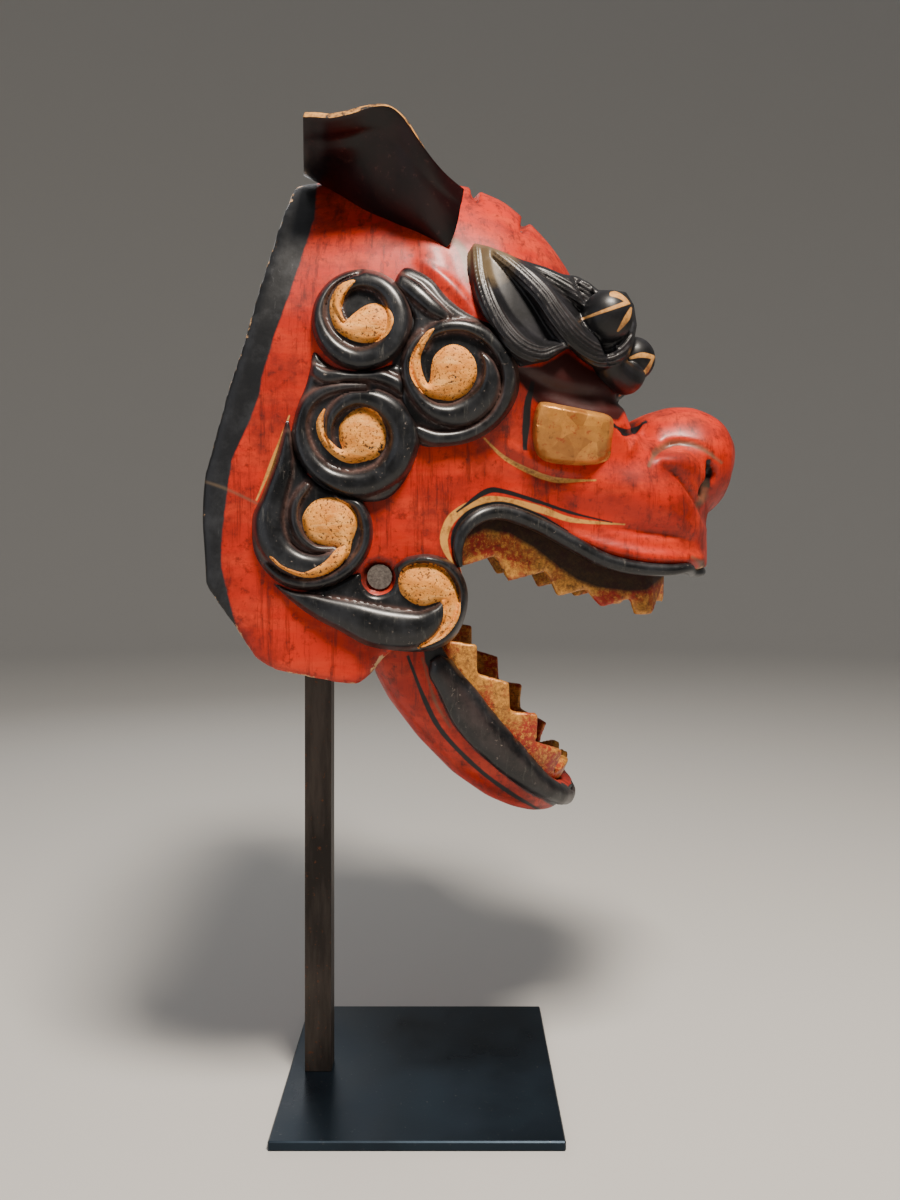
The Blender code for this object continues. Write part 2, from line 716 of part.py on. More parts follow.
def build_brows(outer):
    for side, word in ((-1, "right"), (1, "left")):
        brow = place(lock(BROW_LOCKS[1], BROW_RELIEF, side, 1, 0.0, 5), f"brow_{word}",
                     "black_lacquer")
        for number in (0, 2):
            piece = lock(BROW_LOCKS[number], BROW_RELIEF, side, 1, 0.0, 5)
            boolean(brow, "UNION", helper(piece, f"brow_lock_{word}_{number}"))
        bridge = smooth_path(BROW_BRIDGE, 2)
        stations = [Vector((head_x(along), side * out * HEAD_WIDTH / 2, head_z(up)))
                    for along, up, out, _ in bridge]
        radii = [row[3] * BALL_RADIUS for row in bridge]
        boolean(brow, "UNION", helper(tube(stations, radii), f"brow_bridge_{word}"))
        for number, (along, up, out, size) in enumerate(BROW_BALLS):
            middle = Vector((head_x(along), side * out * HEAD_WIDTH / 2, head_z(up)))
            boolean(brow, "UNION", ball(middle, BALL_RADIUS * size,
                                        f"brow_ball_{word}_{number}"))
        boolean(brow, "DIFFERENCE", bpy.data.objects[f"guard_{word}_2"])
        boolean(brow, "DIFFERENCE", outer)


def build_eyes(outer):
    for side, word in ((-1, "right"), (1, "left")):
        eye = place(dome(EYE_AT, (EYE_LENGTH / 2, EYE_HEIGHT / 2), EYE_RELIEF, side, 14),
                    f"eye_{word}", "gold_leaf")
        boolean(eye, "DIFFERENCE", outer)


def build_ears(outer):
    for side, word in ((-1, "right"), (1, "left")):
        sections = []
        for (root_along, root_up), (rim_along, rim_up, reach) in EAR_SECTIONS:
            root_out = wall_at(root_along, root_up)
            root = Vector((head_x(root_along), root_out - HAIR_SINK, head_z(root_up)))
            rim = Vector((head_x(rim_along), wall_at(*EAR_FROM) + reach * EAR_REACH,
                          head_z(rim_up)))
            lower, upper = [], []
            for k in range(5):
                share = k / 4
                sag = -EAR_SAG * 4 * share * (1 - share)
                point = root.lerp(rim, share) + Vector((0, 0, sag))
                lower.append(Vector((point.x, side * point.y, point.z)))
                upper.append(Vector((point.x, side * point.y, point.z + EAR_THICKNESS)))
            sections.append(lower + upper[::-1])
        ear = place(loft(sections), f"ear_{word}", "maroon_lacquer")
        boolean(ear, "DIFFERENCE", outer)


def build_upper_mouth(outer, seat_form):
    lip = place(
        band(UPPER_LIP_LINE, LIP_WIDTH / 2, LIP_RELIEF, wall_at,
             lambda along, up: (head_x(along), head_z(up))),
        "upper_lip", "black_lacquer",
    )
    boolean(lip, "DIFFERENCE", outer)

    right = []
    for along, up in UPPER_TEETH:
        edge = between(UPPER_TOOTH_LINE, along, 1)
        out = inner_half(HEAD_SECTIONS, 4, HEAD_FRONT, HEAD_LENGTH, HEAD_WIDTH / 2, WALL,
                         along)
        right.append((head_x(along), out, head_z(up), head_z(edge) + TOOTH_ROOT))
    end, tip, root = right[-1][1:]
    right += [(head_x(along), end * share, tip + (1 - drop) * UPPER_TOOTH, root)
              for along, share, drop in UPPER_FRONT_TEETH]
    teeth = place(tooth_row(right), "upper_teeth", "gold_leaf", smooth=False)
    boolean(teeth, "INTERSECT", seat_form)


def tooth_row(right, parent=None):
    """A zigzag board. right holds (x, out, tip z, root z) from the back to the middle."""
    row = [(x, -out, tip, root) for x, out, tip, root in right]
    row += [(x, out, tip, root) for x, out, tip, root in reversed(right[:-1])]
    sections = []
    last = len(row) - 1
    for i, (x, y, tip, root) in enumerate(row):
        before, after = row[max(i - 1, 0)], row[min(i + 1, last)]
        heading = Vector((after[0] - before[0], after[1] - before[1], 0)).normalized()
        inward = Vector((0, 0, 1)).cross(heading)
        near = Vector((x, y, 0)) - inward * TOOTH_SINK
        far = Vector((x, y, 0)) + inward * TOOTH_BOARD
        low, high = Vector((0, 0, tip)), Vector((0, 0, root))
        sections.append([near + low, far + low, far + high, near + high])
    return loft(sections)


def jaw_x(along):
    return along * JAW_LENGTH


def jaw_z(up):
    return up * JAW_DEPTH


def jaw_wall(along, up):
    return between(JAW_SECTIONS, along, 2) * JAW_WIDTH / 2


def jaw_form(grow=0.0):
    """The solid outer form of the shut jaw in the dowel's frame."""
    sections = []
    first = JAW_SECTIONS[0]
    for row in JAW_SECTIONS:
        along, floor, width = row
        forward = front_shift(along, *JAW_FRONT)
        x = jaw_x(along) + grow * (forward if row is not first else 0)
        if row is first:
            x -= abs(grow)
        half = max(width * JAW_WIDTH / 2 + grow, JAW_TIP)
        low = jaw_z(floor) - grow
        shoulder = low + (jaw_z(0.30) - low) * 0.30
        right = [(half, jaw_z(0.30)), (half, shoulder)]
        for i in range(1, ARCH_STEPS):
            angle = i / ARCH_STEPS * math.pi / 2
            right.append((half * math.cos(angle) ** 0.6,
                          shoulder - (shoulder - low) * math.sin(angle) ** 0.7))
        right.append((0.0, low))
        loop = [Vector((x, -out, z)) for out, z in right]
        loop += [Vector((x, out, z)) for out, z in reversed(right[:-1])]
        sections.append(loop)
    return loft(sections)


def build_jaw():
    hinge = bpy.data.objects.new("jaw_hinge", None)
    bpy.context.scene.collection.objects.link(hinge)
    hinge.location = (PIN_X, 0, PIN_Z)
    hinge.rotation_euler = (0, JAW_OPEN, 0)

    grown = helper(jaw_form(SEAT), "jaw_seat", hinge)
    hollow = helper(jaw_form(-JAW_WALL), "jaw_hollow", hinge)
    tooth_seat = helper(jaw_form(-JAW_WALL - SEAT), "jaw_tooth_seat", hinge)
    outline = [(jaw_x(along), jaw_z(up)) for along, up in JAW_OUTLINE]
    trim = helper(prism(outline, JAW_WIDTH), "jaw_outline", hinge)
    hole = helper(rod(0, 0, PIN_RADIUS + SEAT, -HEAD_WIDTH, HEAD_WIDTH), "jaw_pin_hole", hinge)

    shell = place(jaw_form(), "jaw_shell", "red_lacquer", hinge)
    boolean(shell, "DIFFERENCE", hollow)
    boolean(shell, "INTERSECT", trim)
    boolean(shell, "DIFFERENCE", hole)

    lip = place(
        band(LOWER_LIP_LINE, LIP_WIDTH * 0.75, LIP_RELIEF, jaw_wall,
             lambda along, up: (jaw_x(along), jaw_z(up))),
        "lower_lip", "black_lacquer", hinge,
    )
    boolean(lip, "DIFFERENCE", grown)

    rim = [row for row in JAW_OUTLINE if row[0] > 0.2 and row[1] > -1]
    right = []
    for along, rise in LOWER_TEETH:
        edge = jaw_z(between(rim, along, 1))
        out = inner_half(JAW_SECTIONS, 2, JAW_FRONT, JAW_LENGTH, JAW_WIDTH / 2, JAW_WALL,
                         along)
        right.append((jaw_x(along), out, edge - TOOTH_ROOT,
                      edge + rise * LOWER_TOOTH))
    end, root = right[-1][1], right[-1][2]
    right += [(jaw_x(along), end * share, root, root + TOOTH_ROOT + rise * LOWER_TOOTH)
              for along, share, rise in LOWER_FRONT_TEETH]
    teeth = place(tooth_row(right), "lower_teeth", "gold_leaf", hinge, smooth=False)
    boolean(teeth, "INTERSECT", tooth_seat)


def main():
    clear_scene()
    outer = helper(head_form(SEAT), "head_seat")
    hollow = helper(head_form(-WALL, len(HEAD_SECTIONS) - 2), "head_hollow")
    seat_form = helper(head_form(-WALL - SEAT, len(HEAD_SECTIONS) - 2), "head_inner_seat")
    build_stand(seat_form)
    build_head(outer, hollow)
    build_pin()
    build_curls(outer)
    build_brows(outer)
    build_eyes(outer)
    build_ears(outer)
    build_upper_mouth(outer, seat_form)
    build_jaw()


main()
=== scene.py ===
import math

import bmesh
import bpy
import numpy as np
from mathutils import Matrix, Vector
from mathutils.bvhtree import BVHTree
from mathutils.noise import noise as noise_at


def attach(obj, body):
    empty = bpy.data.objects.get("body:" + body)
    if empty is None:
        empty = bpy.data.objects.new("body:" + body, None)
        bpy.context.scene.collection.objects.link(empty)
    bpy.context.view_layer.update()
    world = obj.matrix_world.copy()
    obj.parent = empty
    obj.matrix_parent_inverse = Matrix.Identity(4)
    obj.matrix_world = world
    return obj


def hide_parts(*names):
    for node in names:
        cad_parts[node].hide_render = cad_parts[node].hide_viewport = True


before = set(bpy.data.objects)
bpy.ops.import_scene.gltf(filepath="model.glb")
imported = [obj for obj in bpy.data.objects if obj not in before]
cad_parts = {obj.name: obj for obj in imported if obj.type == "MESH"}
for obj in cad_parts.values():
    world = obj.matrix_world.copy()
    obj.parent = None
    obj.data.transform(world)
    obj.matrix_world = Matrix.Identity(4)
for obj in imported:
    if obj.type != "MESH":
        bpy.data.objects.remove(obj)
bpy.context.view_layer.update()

# Camera
# It stands level at the lion's right side, as the upright edges of the stand's bar show,
# with its frame slid down a little. Pixel places below are (across, down) in 900 x 1200.
PHOTO_WIDE = 900
PHOTO_HIGH = 1200
HORIZON = 547
FOCAL = 1010
CAMERA_AT = Vector((0.020, -0.698, 0.364))

camera_data = bpy.data.cameras.new("camera")
camera_data.sensor_width = 36
camera_data.lens = FOCAL * camera_data.sensor_width / PHOTO_HIGH
camera_data.shift_y = (HORIZON - PHOTO_HIGH / 2) / PHOTO_HIGH
camera = bpy.data.objects.new("camera", camera_data)
camera.location = CAMERA_AT
camera.rotation_euler = (math.radians(90), 0, 0)
bpy.context.scene.collection.objects.link(camera)
bpy.context.scene.camera = camera


def heading(pixel):
    """The direction of a pixel's ray. Its step along Y is 1."""
    return Vector(((pixel[0] - PHOTO_WIDE / 2) / FOCAL, 1, (HORIZON - pixel[1]) / FOCAL))


def seen_at(places):
    """The pixels where places on the near side, or mirrored from the far one, are seen."""
    depth = -np.abs(places[:, 1]) - CAMERA_AT.y
    across = PHOTO_WIDE / 2 + (places[:, 0] - CAMERA_AT.x) / depth * FOCAL
    down = HORIZON - (places[:, 2] - CAMERA_AT.z) / depth * FOCAL
    return np.stack([across, down], axis=1)


# Studio
# A pale floor that curves up all round into a seamless backdrop, a large soft key from above
# the lion's face, a weak fill from the camera's left and a rim light behind.
# A coat is a clear lacquer film. A metal keeps the usual gloss, and old lacquer, paint and
# wood have lost some of it.
COAT_ROUGHNESS = 0.22
METAL_GLOSS = 0.5
PLAIN_GLOSS = 0.32


def linear(hex_colour):
    """An sRGB hex colour as a linear one."""
    parts = [int(hex_colour[i:i + 2], 16) / 255 for i in (1, 3, 5)]
    return [p / 12.92 if p <= 0.04045 else ((p + 0.055) / 1.055) ** 2.4 for p in parts] + [1.0]


def add(tree, kind, links=None, **settings):
    """Add a shader node with its settings, and its sockets' values or links."""
    made = tree.nodes.new(kind)
    for name, value in settings.items():
        setattr(made, name, value)
    for socket, value in (links or {}).items():
        if isinstance(value, bpy.types.NodeSocket):
            tree.links.new(value, made.inputs[socket])
        else:
            made.inputs[socket].default_value = value
    return made


def finish(name, roughness, patterns, stored=(), metallic=0.0, coat=0.0):
    """A material with its tree, its shader and, by name, the outputs that its coats read.

    A pattern is a noise's scale, detail and roughness and, where a brush or the grain drew it
    out, its stretch along each axis. The scale is its marks to the metre, so 100 draws marks
    of 10 mm and 400 draws marks of 2.5 mm. What is stored are numbers kept for each vertex.
    """
    made = bpy.data.materials.new(name)
    made.use_nodes = True
    tree = made.node_tree
    shader = tree.nodes["Principled BSDF"]
    for socket, value in (("Roughness", roughness), ("Metallic", metallic),
                          ("Coat Weight", coat), ("Coat Roughness", COAT_ROUGHNESS),
                          ("Specular IOR Level", METAL_GLOSS if metallic else PLAIN_GLOSS)):
        shader.inputs[socket].default_value = value
    read = {"place": add(tree, "ShaderNodeTexCoord").outputs["Object"]}
    for pattern, (scale, detail, rough, *stretch) in patterns.items():
        turned = add(tree, "ShaderNodeMapping", {
            "Vector": read["place"], "Scale": stretch or (1, 1, 1),
        })
        read[pattern] = add(tree, "ShaderNodeTexNoise", {
            "Vector": turned.outputs[0], "Scale": scale, "Detail": detail, "Roughness": rough,
        }).outputs["Fac"]
    for kept in stored:
        read[kept] = add(tree, "ShaderNodeAttribute", attribute_name=kept).outputs["Fac"]
    return made, tree, shader, read


SWEEP_AT = 3.0
SWEEP_RADIUS = 2.5
WALL_HIGH = 4.5
SWEEP_STEPS = 24
TURN_STEPS = 128
floor_mesh = bmesh.new()
profile = [(0.0, 0.0), (SWEEP_AT / 2, 0.0), (SWEEP_AT, 0.0)]
for step in range(1, SWEEP_STEPS + 1):
    turn = math.pi / 2 * step / SWEEP_STEPS
    profile.append((SWEEP_AT + SWEEP_RADIUS * math.sin(turn),
                    SWEEP_RADIUS * (1 - math.cos(turn))))
profile.append((SWEEP_AT + SWEEP_RADIUS, WALL_HIGH))
line = [floor_mesh.verts.new((out, 0, up)) for out, up in profile]
edges = [floor_mesh.edges.new(pair) for pair in zip(line, line[1:])]
bmesh.ops.spin(floor_mesh, geom=line + edges, cent=(0, 0, 0), axis=(0, 0, 1),
               angle=math.tau, steps=TURN_STEPS, use_merge=True)
bmesh.ops.remove_doubles(floor_mesh, verts=floor_mesh.verts, dist=1e-4)
bmesh.ops.recalc_face_normals(floor_mesh, faces=floor_mesh.faces)
for face in floor_mesh.faces:
    face.smooth = True
floor_data = bpy.data.meshes.new("floor")
floor_mesh.to_mesh(floor_data)
floor_mesh.free()
floor = bpy.data.objects.new("floor", floor_data)
bpy.context.scene.collection.objects.link(floor)
floor_finish, _, floor_shader, _ = finish("pale_paper", 0.9, {})
floor_shader.inputs["Base Color"].default_value = linear("#C9C7C3")
floor_data.materials.append(floor_finish)

world = bpy.data.worlds.new("studio")
world.use_nodes = True
sky = world.node_tree.nodes["Background"]
sky.inputs["Color"].default_value = linear("#C3C3C4")
sky.inputs["Strength"].default_value = 0.42
bpy.context.scene.world = world

LIGHTS_AIM = Vector((0.02, 0, 0.42))
LIGHTS = (
    # name, place, size, power, colour
    ("key", (0.32, -0.72, 1.62), 0.32, 52, "#FFF4E6"),
    ("fill", (-1.1, -1.0, 0.5), 1.4, 5, "#EEF2FF"),
    ("rim", (-0.5, 1.2, 1.1), 0.8, 4, "#FFFFFF"),
)
for name, place, size, power, colour in LIGHTS:
    lamp_data = bpy.data.lights.new(name, "AREA")
    lamp_data.size = size
    lamp_data.energy = power
    lamp_data.color = linear(colour)[:3]
    lamp = bpy.data.objects.new(name, lamp_data)
    lamp.location = place
    lamp.rotation_euler = (LIGHTS_AIM - lamp.location).to_track_quat("-Z", "Y").to_euler()
    bpy.context.scene.collection.objects.link(lamp)


# Stand
# A flat plate and a square bar of mild steel, welded and left with a dark satin finish.
# The plate is blued, and the bar is bare and brown, with specks of rust.
def coated(tree, read, coats):
    """Coats of colour over one another, the ground first.

    Each further coat is a colour, or coats of its own, and the ramps that it shows by, which
    are multiplied: what a ramp reads, where it is 0, where it is full, and how much that is.
    """
    if isinstance(coats, str):
        return linear(coats)
    colour = linear(coats[0])
    for over, *ramps in coats[1:]:
        shown = 1.0
        for what, none_at, full_at, most in ramps:
            ramp = add(tree, "ShaderNodeMapRange", {
                "Value": read[what], "From Min": none_at, "From Max": full_at, "To Max": most,
            })
            shown = add(tree, "ShaderNodeMath", {0: shown, 1: ramp.outputs[0]},
                        operation="MULTIPLY").outputs[0]
        mixed = add(tree, "ShaderNodeMix", {0: shown, 6: colour, 7: coated(tree, read, over)},
                    data_type="RGBA")
        colour = mixed.outputs[2]
    return colour


def dress(tree, shader, read, coats, height, strength, distance, shine=None):
    """Give a material its coats and the height of its skin, and let its shine vary.

    shine is what it reads, its low and high there, and the roughness at each.
    """
    tree.links.new(coated(tree, read, coats), shader.inputs["Base Color"])
    raised = add(tree, "ShaderNodeBump", {
        "Height": read[height], "Strength": strength, "Distance": distance,
    })
    tree.links.new(raised.outputs[0], shader.inputs["Normal"])
    if shine:
        sockets = ("Value", "From Min", "From Max", "To Min", "To Max")
        values = (read[shine[0]], *shine[1:])
        varied = add(tree, "ShaderNodeMapRange", dict(zip(sockets, values)))
        tree.links.new(varied.outputs[0], shader.inputs["Roughness"])


def plate_finish():
    """Blued steel, ground flat: dark blue satin that drifts in clouds, with pale scuffs.

    The grit is finer on the real plate, and is drawn as coarse as it needs to show.
    """
    made, tree, shader, read = finish("blued_steel", 0.38, {
        "cloud": (9, 4, 0.6), "grit": (420, 3, 0.6),
    }, metallic=0.75)
    dress(tree, shader, read, (
        "#141E28",
        ("#22303C", ("cloud", 0.35, 0.7, 1)),
        ("#6B6A66", ("grit", 0.68, 0.74, 0.5)),
    ), "grit", 0.08, 0.0004, shine=("cloud", 0.0, 1.0, 0.0, 0.7))
    return made


def bar_finish():
    """Mill steel, rolled and left bare: a brown skin streaked along the bar, rust in specks."""
    made, tree, shader, read = finish("mill_steel", 0.5, {
        "streak": (60, 6, 0.65, 1, 1, 0.15), "speck": (300, 4, 0.7),
    }, metallic=0.7)
    dress(tree, shader, read, (
        "#2B2623",
        ("#4A423C", ("streak", 0.4, 0.62, 1)),
        ("#6A3F26", ("speck", 0.62, 0.7, 0.8)),
    ), "speck", 0.15, 0.0004)
    return made


for node, made in (("base_plate", plate_finish()), ("post", bar_finish())):
    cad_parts[node].data.materials.clear()
    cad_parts[node].data.materials.append(made)


# Head shell
# One block of light wood, carved outside and hollowed from behind, lacquered red with a black
# border along its open edge. The cheeks, muzzle and nose are one piece with the crown.
# Sizes are in metres. A share is of the head's own length, height or half width.
HEAD_BACK = -0.124
HEAD_LENGTH = 0.336
HEAD_LOW = 0.283
HEAD_HEIGHT = 0.331
HEAD_HALF = 0.113
WALL = 0.009
FORM_START = -0.09
FORM_END = 0.942
FORM_FLOOR = -0.40
CHEEK_UP = 0.36
FLOOR_SHARE = 0.05
ARCH_START = 0.34
ARCH_POWER = 2 / 2.05
HEAD_ROWS = np.array((
    # along, crown, shoulder, brow, lip, as shares of the head's length, height and half width
    (-0.090, 0.953, 0.560, 0.99, 0.99),
    (0.120, 0.980, 0.565, 1.00, 0.99),
    (0.280, 0.992, 0.580, 1.00, 0.98),
    (0.408, 0.988, 0.580, 1.00, 0.94),
    (0.470, 0.976, 0.570, 0.98, 0.87),
    (0.530, 0.952, 0.560, 0.95, 0.79),
    (0.580, 0.912, 0.540, 0.91, 0.75),
    (0.622, 0.868, 0.520, 0.87, 0.735),
    (0.662, 0.812, 0.495, 0.82, 0.723),
    (0.705, 0.718, 0.460, 0.77, 0.71),
    (0.747, 0.592, 0.415, 0.71, 0.69),
    (0.766, 0.515, 0.400, 0.69, 0.68),
    (0.786, 0.474, 0.390, 0.68, 0.67),
    (0.830, 0.466, 0.385, 0.64, 0.64),
    (0.869, 0.450, 0.380, 0.59, 0.59),
    (0.897, 0.430, 0.375, 0.505, 0.51),
    (0.920, 0.405, 0.370, 0.37, 0.38),
    (0.942, 0.375, 0.362, 0.12, 0.13),
))
# The lower and back edge of the near cheek, from the crown's back corner round to the nose
CHEEK_EDGE = (
    (330, 60), (322, 172), (310, 181), (297, 186), (284, 210), (273, 243), (262, 275), (252, 314),
    (241, 347), (227, 388), (212, 443), (204, 473), (200.6, 501), (200.6, 527), (203, 553),
    (204, 586), (219, 608), (232, 625), (243, 642), (256, 660), (275, 671), (297, 676),
    (330, 682), (357, 686), (373, 672), (388, 653), (412, 647), (434, 645), (452, 634),
    (461, 616), (465, 596), (463, 578), (459, 562), (456, 546), (460, 531), (472, 517),
    (488, 511), (507, 511), (539, 523), (572, 541), (604, 558), (637, 566), (669, 569),
    (700, 569), (760, 572), (860, 400), (800, 40),
)
NOSE_ROWS = np.array((
    # along, middle height, half height, half width, as shares
    (0.00, 0.440, 0.14, 0.30), (0.14, 0.440, 0.26, 0.70), (0.32, 0.434, 0.38, 0.94),
    (0.50, 0.426, 0.47, 1.00), (0.68, 0.420, 0.50, 1.00), (0.82, 0.417, 0.46, 0.92),
    (0.93, 0.422, 0.36, 0.76), (1.00, 0.435, 0.16, 0.40),
))
NOSE_LENGTH = 0.084
NOSE_HALF = 0.048
NOSE_HEIGHT = 0.076
NOSE_START = 0.748
SHELL_VOXEL = 0.0024


def column(rows, index, along, soften=0.014):
    """A column of a table at places along it, with its corners softened."""
    shifts = np.linspace(-1, 1, 9) * soften
    return np.mean([np.interp(along + s, rows[:, 0], rows[:, index]) for s in shifts], axis=0)


def wrap(across, around, shape):
    """A closed skin: a grid rolled into a tube, each point placed by shape(u, v)."""
    made = bmesh.new()
    bmesh.ops.create_grid(made, x_segments=across, y_segments=around, size=0.5)
    flat = np.array([v.co[:2] for v in made.verts]) + 0.5
    for vert, place in zip(made.verts, shape(flat[:, 0], flat[:, 1])):
        vert.co = place
    bmesh.ops.remove_doubles(made, verts=made.verts, dist=1e-6)
    bmesh.ops.holes_fill(made, edges=[e for e in made.edges if e.is_boundary], sides=0)
    bmesh.ops.recalc_face_normals(made, faces=made.faces)
    return made


def head_skin(grow, first, last):
    """The head's outer form, grown or shrunk, from one share of its length to another."""
    def shape(u, v):
        along = first + (last - first) * u
        crown, shoulder = (column(HEAD_ROWS, i, along) * HEAD_HEIGHT + HEAD_LOW for i in (1, 2))
        brow, lip = (column(HEAD_ROWS, i, along) * HEAD_HALF + grow for i in (3, 4))
        rise = 1 - np.abs(2 * v - 1)
        base = np.clip(rise / FLOOR_SHARE, 0, 1)
        low = np.clip((rise - FLOOR_SHARE) / (ARCH_START - FLOOR_SHARE), 0, 1)
        turn = np.clip((rise - ARCH_START) / (1 - ARCH_START), 0, 1) * math.pi / 2
        floor_z = HEAD_LOW + FORM_FLOOR * HEAD_HEIGHT
        z = floor_z + (shoulder - floor_z) * low
        cheek_z = HEAD_LOW + CHEEK_UP * HEAD_HEIGHT
        out = lip + (brow - lip) * np.clip((z - cheek_z) / (shoulder - cheek_z), 0, 1)
        arch = turn > 0
        out = np.where(arch, np.maximum(brow, 1e-4) * np.cos(turn) ** ARCH_POWER, out)
        arch_z = shoulder + (crown + grow - shoulder) * np.sin(turn) ** ARCH_POWER
        z = np.where(arch, arch_z, z)
        forward = np.clip((along - 0.55) / 0.13, 0, 1) * grow
        x = HEAD_BACK + along * HEAD_LENGTH + forward
        return np.stack([x, out * base * np.where(v < 0.5, -1, 1), z], axis=1)
    return wrap(110, 120, shape)


def nose_skin():
    def shape(u, v):
        turn = v * math.tau
        x = HEAD_BACK + NOSE_START * HEAD_LENGTH + u * NOSE_LENGTH
        middle = HEAD_LOW + column(NOSE_ROWS, 1, u, 0.03) * HEAD_HEIGHT
        high, wide = (column(NOSE_ROWS, i, u, 0.03) for i in (2, 3))
        return np.stack([x, wide * NOSE_HALF * np.cos(turn),
                         middle + high * NOSE_HEIGHT * np.sin(turn)], axis=1)
    return wrap(40, 48, shape)


def made_object(made, name):
    """An object of a bmesh, smooth shaded."""
    data = bpy.data.meshes.new(name)
    made.to_mesh(data)
    made.free()
    data.shade_smooth()
    found = bpy.data.objects.new(name, data)
    bpy.context.scene.collection.objects.link(found)
    return found


def settle(piece):
    """Apply a piece's modifiers."""
    graph = bpy.context.evaluated_depsgraph_get()
    data = bpy.data.meshes.new_from_object(piece.evaluated_get(graph))
    piece.modifiers.clear()
    old, piece.data = piece.data, data
    bpy.data.meshes.remove(old)
    data.name = piece.name
    data.shade_smooth()


def combine(piece, steps, voxel):
    """Join and cut a block with other blocks, then even out its skin."""
    helpers = []
    for operation, made in steps:
        other = made_object(made, "cutter")
        helpers.append(other)
        step = piece.modifiers.new(operation.lower(), "BOOLEAN")
        step.operation = operation
        step.solver = "EXACT"
        step.object = other
    skin = piece.modifiers.new("skin", "REMESH")
    skin.mode = "VOXEL"
    skin.voxel_size = voxel
    skin.use_smooth_shade = True
    settle(piece)
    for other in helpers:
        bpy.data.objects.remove(other)


def soften(piece, times, factor=0.5):
    """Round a remeshed skin's steps."""
    made = bmesh.new()
    made.from_mesh(piece.data)
    for _ in range(times):
        bmesh.ops.smooth_vert(made, verts=made.verts, factor=factor, use_axis_x=True,
                              use_axis_y=True, use_axis_z=True)
    made.to_mesh(piece.data)
    made.free()


def smooth_path(rows, steps=6):
    """A smooth curve through rows of numbers."""
    rows = np.array(rows, float)
    padded = np.vstack([rows[:1], rows, rows[-1:]])
    path = []
    for a, b, c, d in zip(padded, padded[1:], padded[2:], padded[3:]):
        for t in np.arange(steps) / steps:
            path.append(0.5 * (2 * b + (c - a) * t + (2 * a - 5 * b + 4 * c - d) * t * t
                               + (3 * b - a - 3 * c + d) * t ** 3))
    path.append(rows[-1])
    return np.array(path)


form = head_skin(0.0, FORM_START, FORM_END)
form_tree = BVHTree.FromBMesh(form)


def at_depth(pixel, out):
    """The place of a pixel at a distance out from the middle plane, in metres."""
    return CAMERA_AT + heading(pixel) * (-CAMERA_AT.y - out)


def landed(pixel, tree=form_tree):
    """Where a pixel's ray meets a form, or passes nearest to it."""
    hit = tree.ray_cast(CAMERA_AT, heading(pixel).normalized())
    if hit[0] is not None and hit[0].y < 0:
        return hit[0]
    outs = np.linspace(0, HEAD_HALF, 30)
    gaps = [tree.find_nearest(at_depth(pixel, out))[3] for out in outs]
    return at_depth(pixel, outs[int(np.argmin(gaps))])


def slab(outline, half):
    """A flat block of a closed outline in the side view, half its width to each side."""
    made = bmesh.new()
    verts = [made.verts.new((x, -half, z)) for x, z in outline]
    face = made.faces.new(verts)
    sides = bmesh.ops.extrude_face_region(made, geom=[face])["geom"]
    moved = [v for v in sides if isinstance(v, bmesh.types.BMVert)]
    bmesh.ops.translate(made, verts=moved, vec=(0, 2 * half, 0))
    bmesh.ops.recalc_face_normals(made, faces=made.faces)
    return made


def polygon_distance(pixels, outline):
    """Signed distance of pixels to a closed outline, positive inside."""
    outline = np.array(outline, float)
    nearest = np.full(len(pixels), 1e9)
    inside = np.zeros(len(pixels), bool)
    for a, b in zip(outline, np.roll(outline, -1, axis=0)):
        run = b - a
        t = np.clip((pixels - a) @ run / max(run @ run, 1e-9), 0, 1)
        nearest = np.minimum(nearest, np.hypot(*(pixels - a - t[:, None] * run).T))
        crosses = (a[1] > pixels[:, 1]) != (b[1] > pixels[:, 1])
        level = a[0] + (pixels[:, 1] - a[1]) * run[0] / (run[1] if run[1] else 1e-9)
        inside ^= crosses & (pixels[:, 0] < level)
    return np.where(inside, nearest, -nearest)


def stroke(pixels, rows, steps=6):
    """How pixels lie to a chisel's or a brush's stroke.

    rows are (across, down, half width, height). The answer is the distance, the half width
    and height at the nearest place, and the signed offset to one side.
    """
    path = smooth_path(rows, steps)
    best = np.full(len(pixels), 1e9)
    found = np.zeros((len(pixels), 3))
    for a, b in zip(path, path[1:]):
        run = b[:2] - a[:2]
        length = max(math.hypot(*run), 1e-9)
        t = np.clip((pixels - a[:2]) @ run / length ** 2, 0, 1)
        gap = pixels - a[:2] - t[:, None] * run
        distance = np.hypot(*gap.T)
        side = (gap[:, 0] * run[1] - gap[:, 1] * run[0]) / length
        closer = distance < best
        best = np.where(closer, distance, best)
        here = np.stack([a[2] + (b[2] - a[2]) * t, a[3] + (b[3] - a[3]) * t, side], axis=1)
        found[closer] = here[closer]
    return best, found[:, 0], found[:, 1], found[:, 2]


def soft_ridge(pixels, rows):
    """Height of a swell that runs out smoothly, or of a groove where the height is negative."""
    distance, half, height, _ = stroke(pixels, rows)
    return height * np.clip(1 - (distance / half) ** 2, 0, 1) ** 2


def painted(pixels, rows):
    """How far inside a painted stroke pixels lie."""
    distance, half, _, _ = stroke(pixels, rows)
    return half - distance


def keep_lines(data, name, pixels, lines, shown):
    """Store thin painted lines as a signed offset, a half width and a distance.

    An offset runs evenly through a line, so a line thinner than the mesh stays whole.
    """
    found = [stroke(pixels, rows) for rows in lines]
    nearest = np.argmin([distance - half for distance, half, _, _ in found], axis=0)
    picked = [np.choose(nearest, [row[i] for row in found]) for i in (0, 1, 3)]
    picked[1] = np.where(shown, picked[1], NOWHERE)
    for part, values in zip(("near", "half", "side"), picked):
        keep(data, f"{name}_{part}", values)


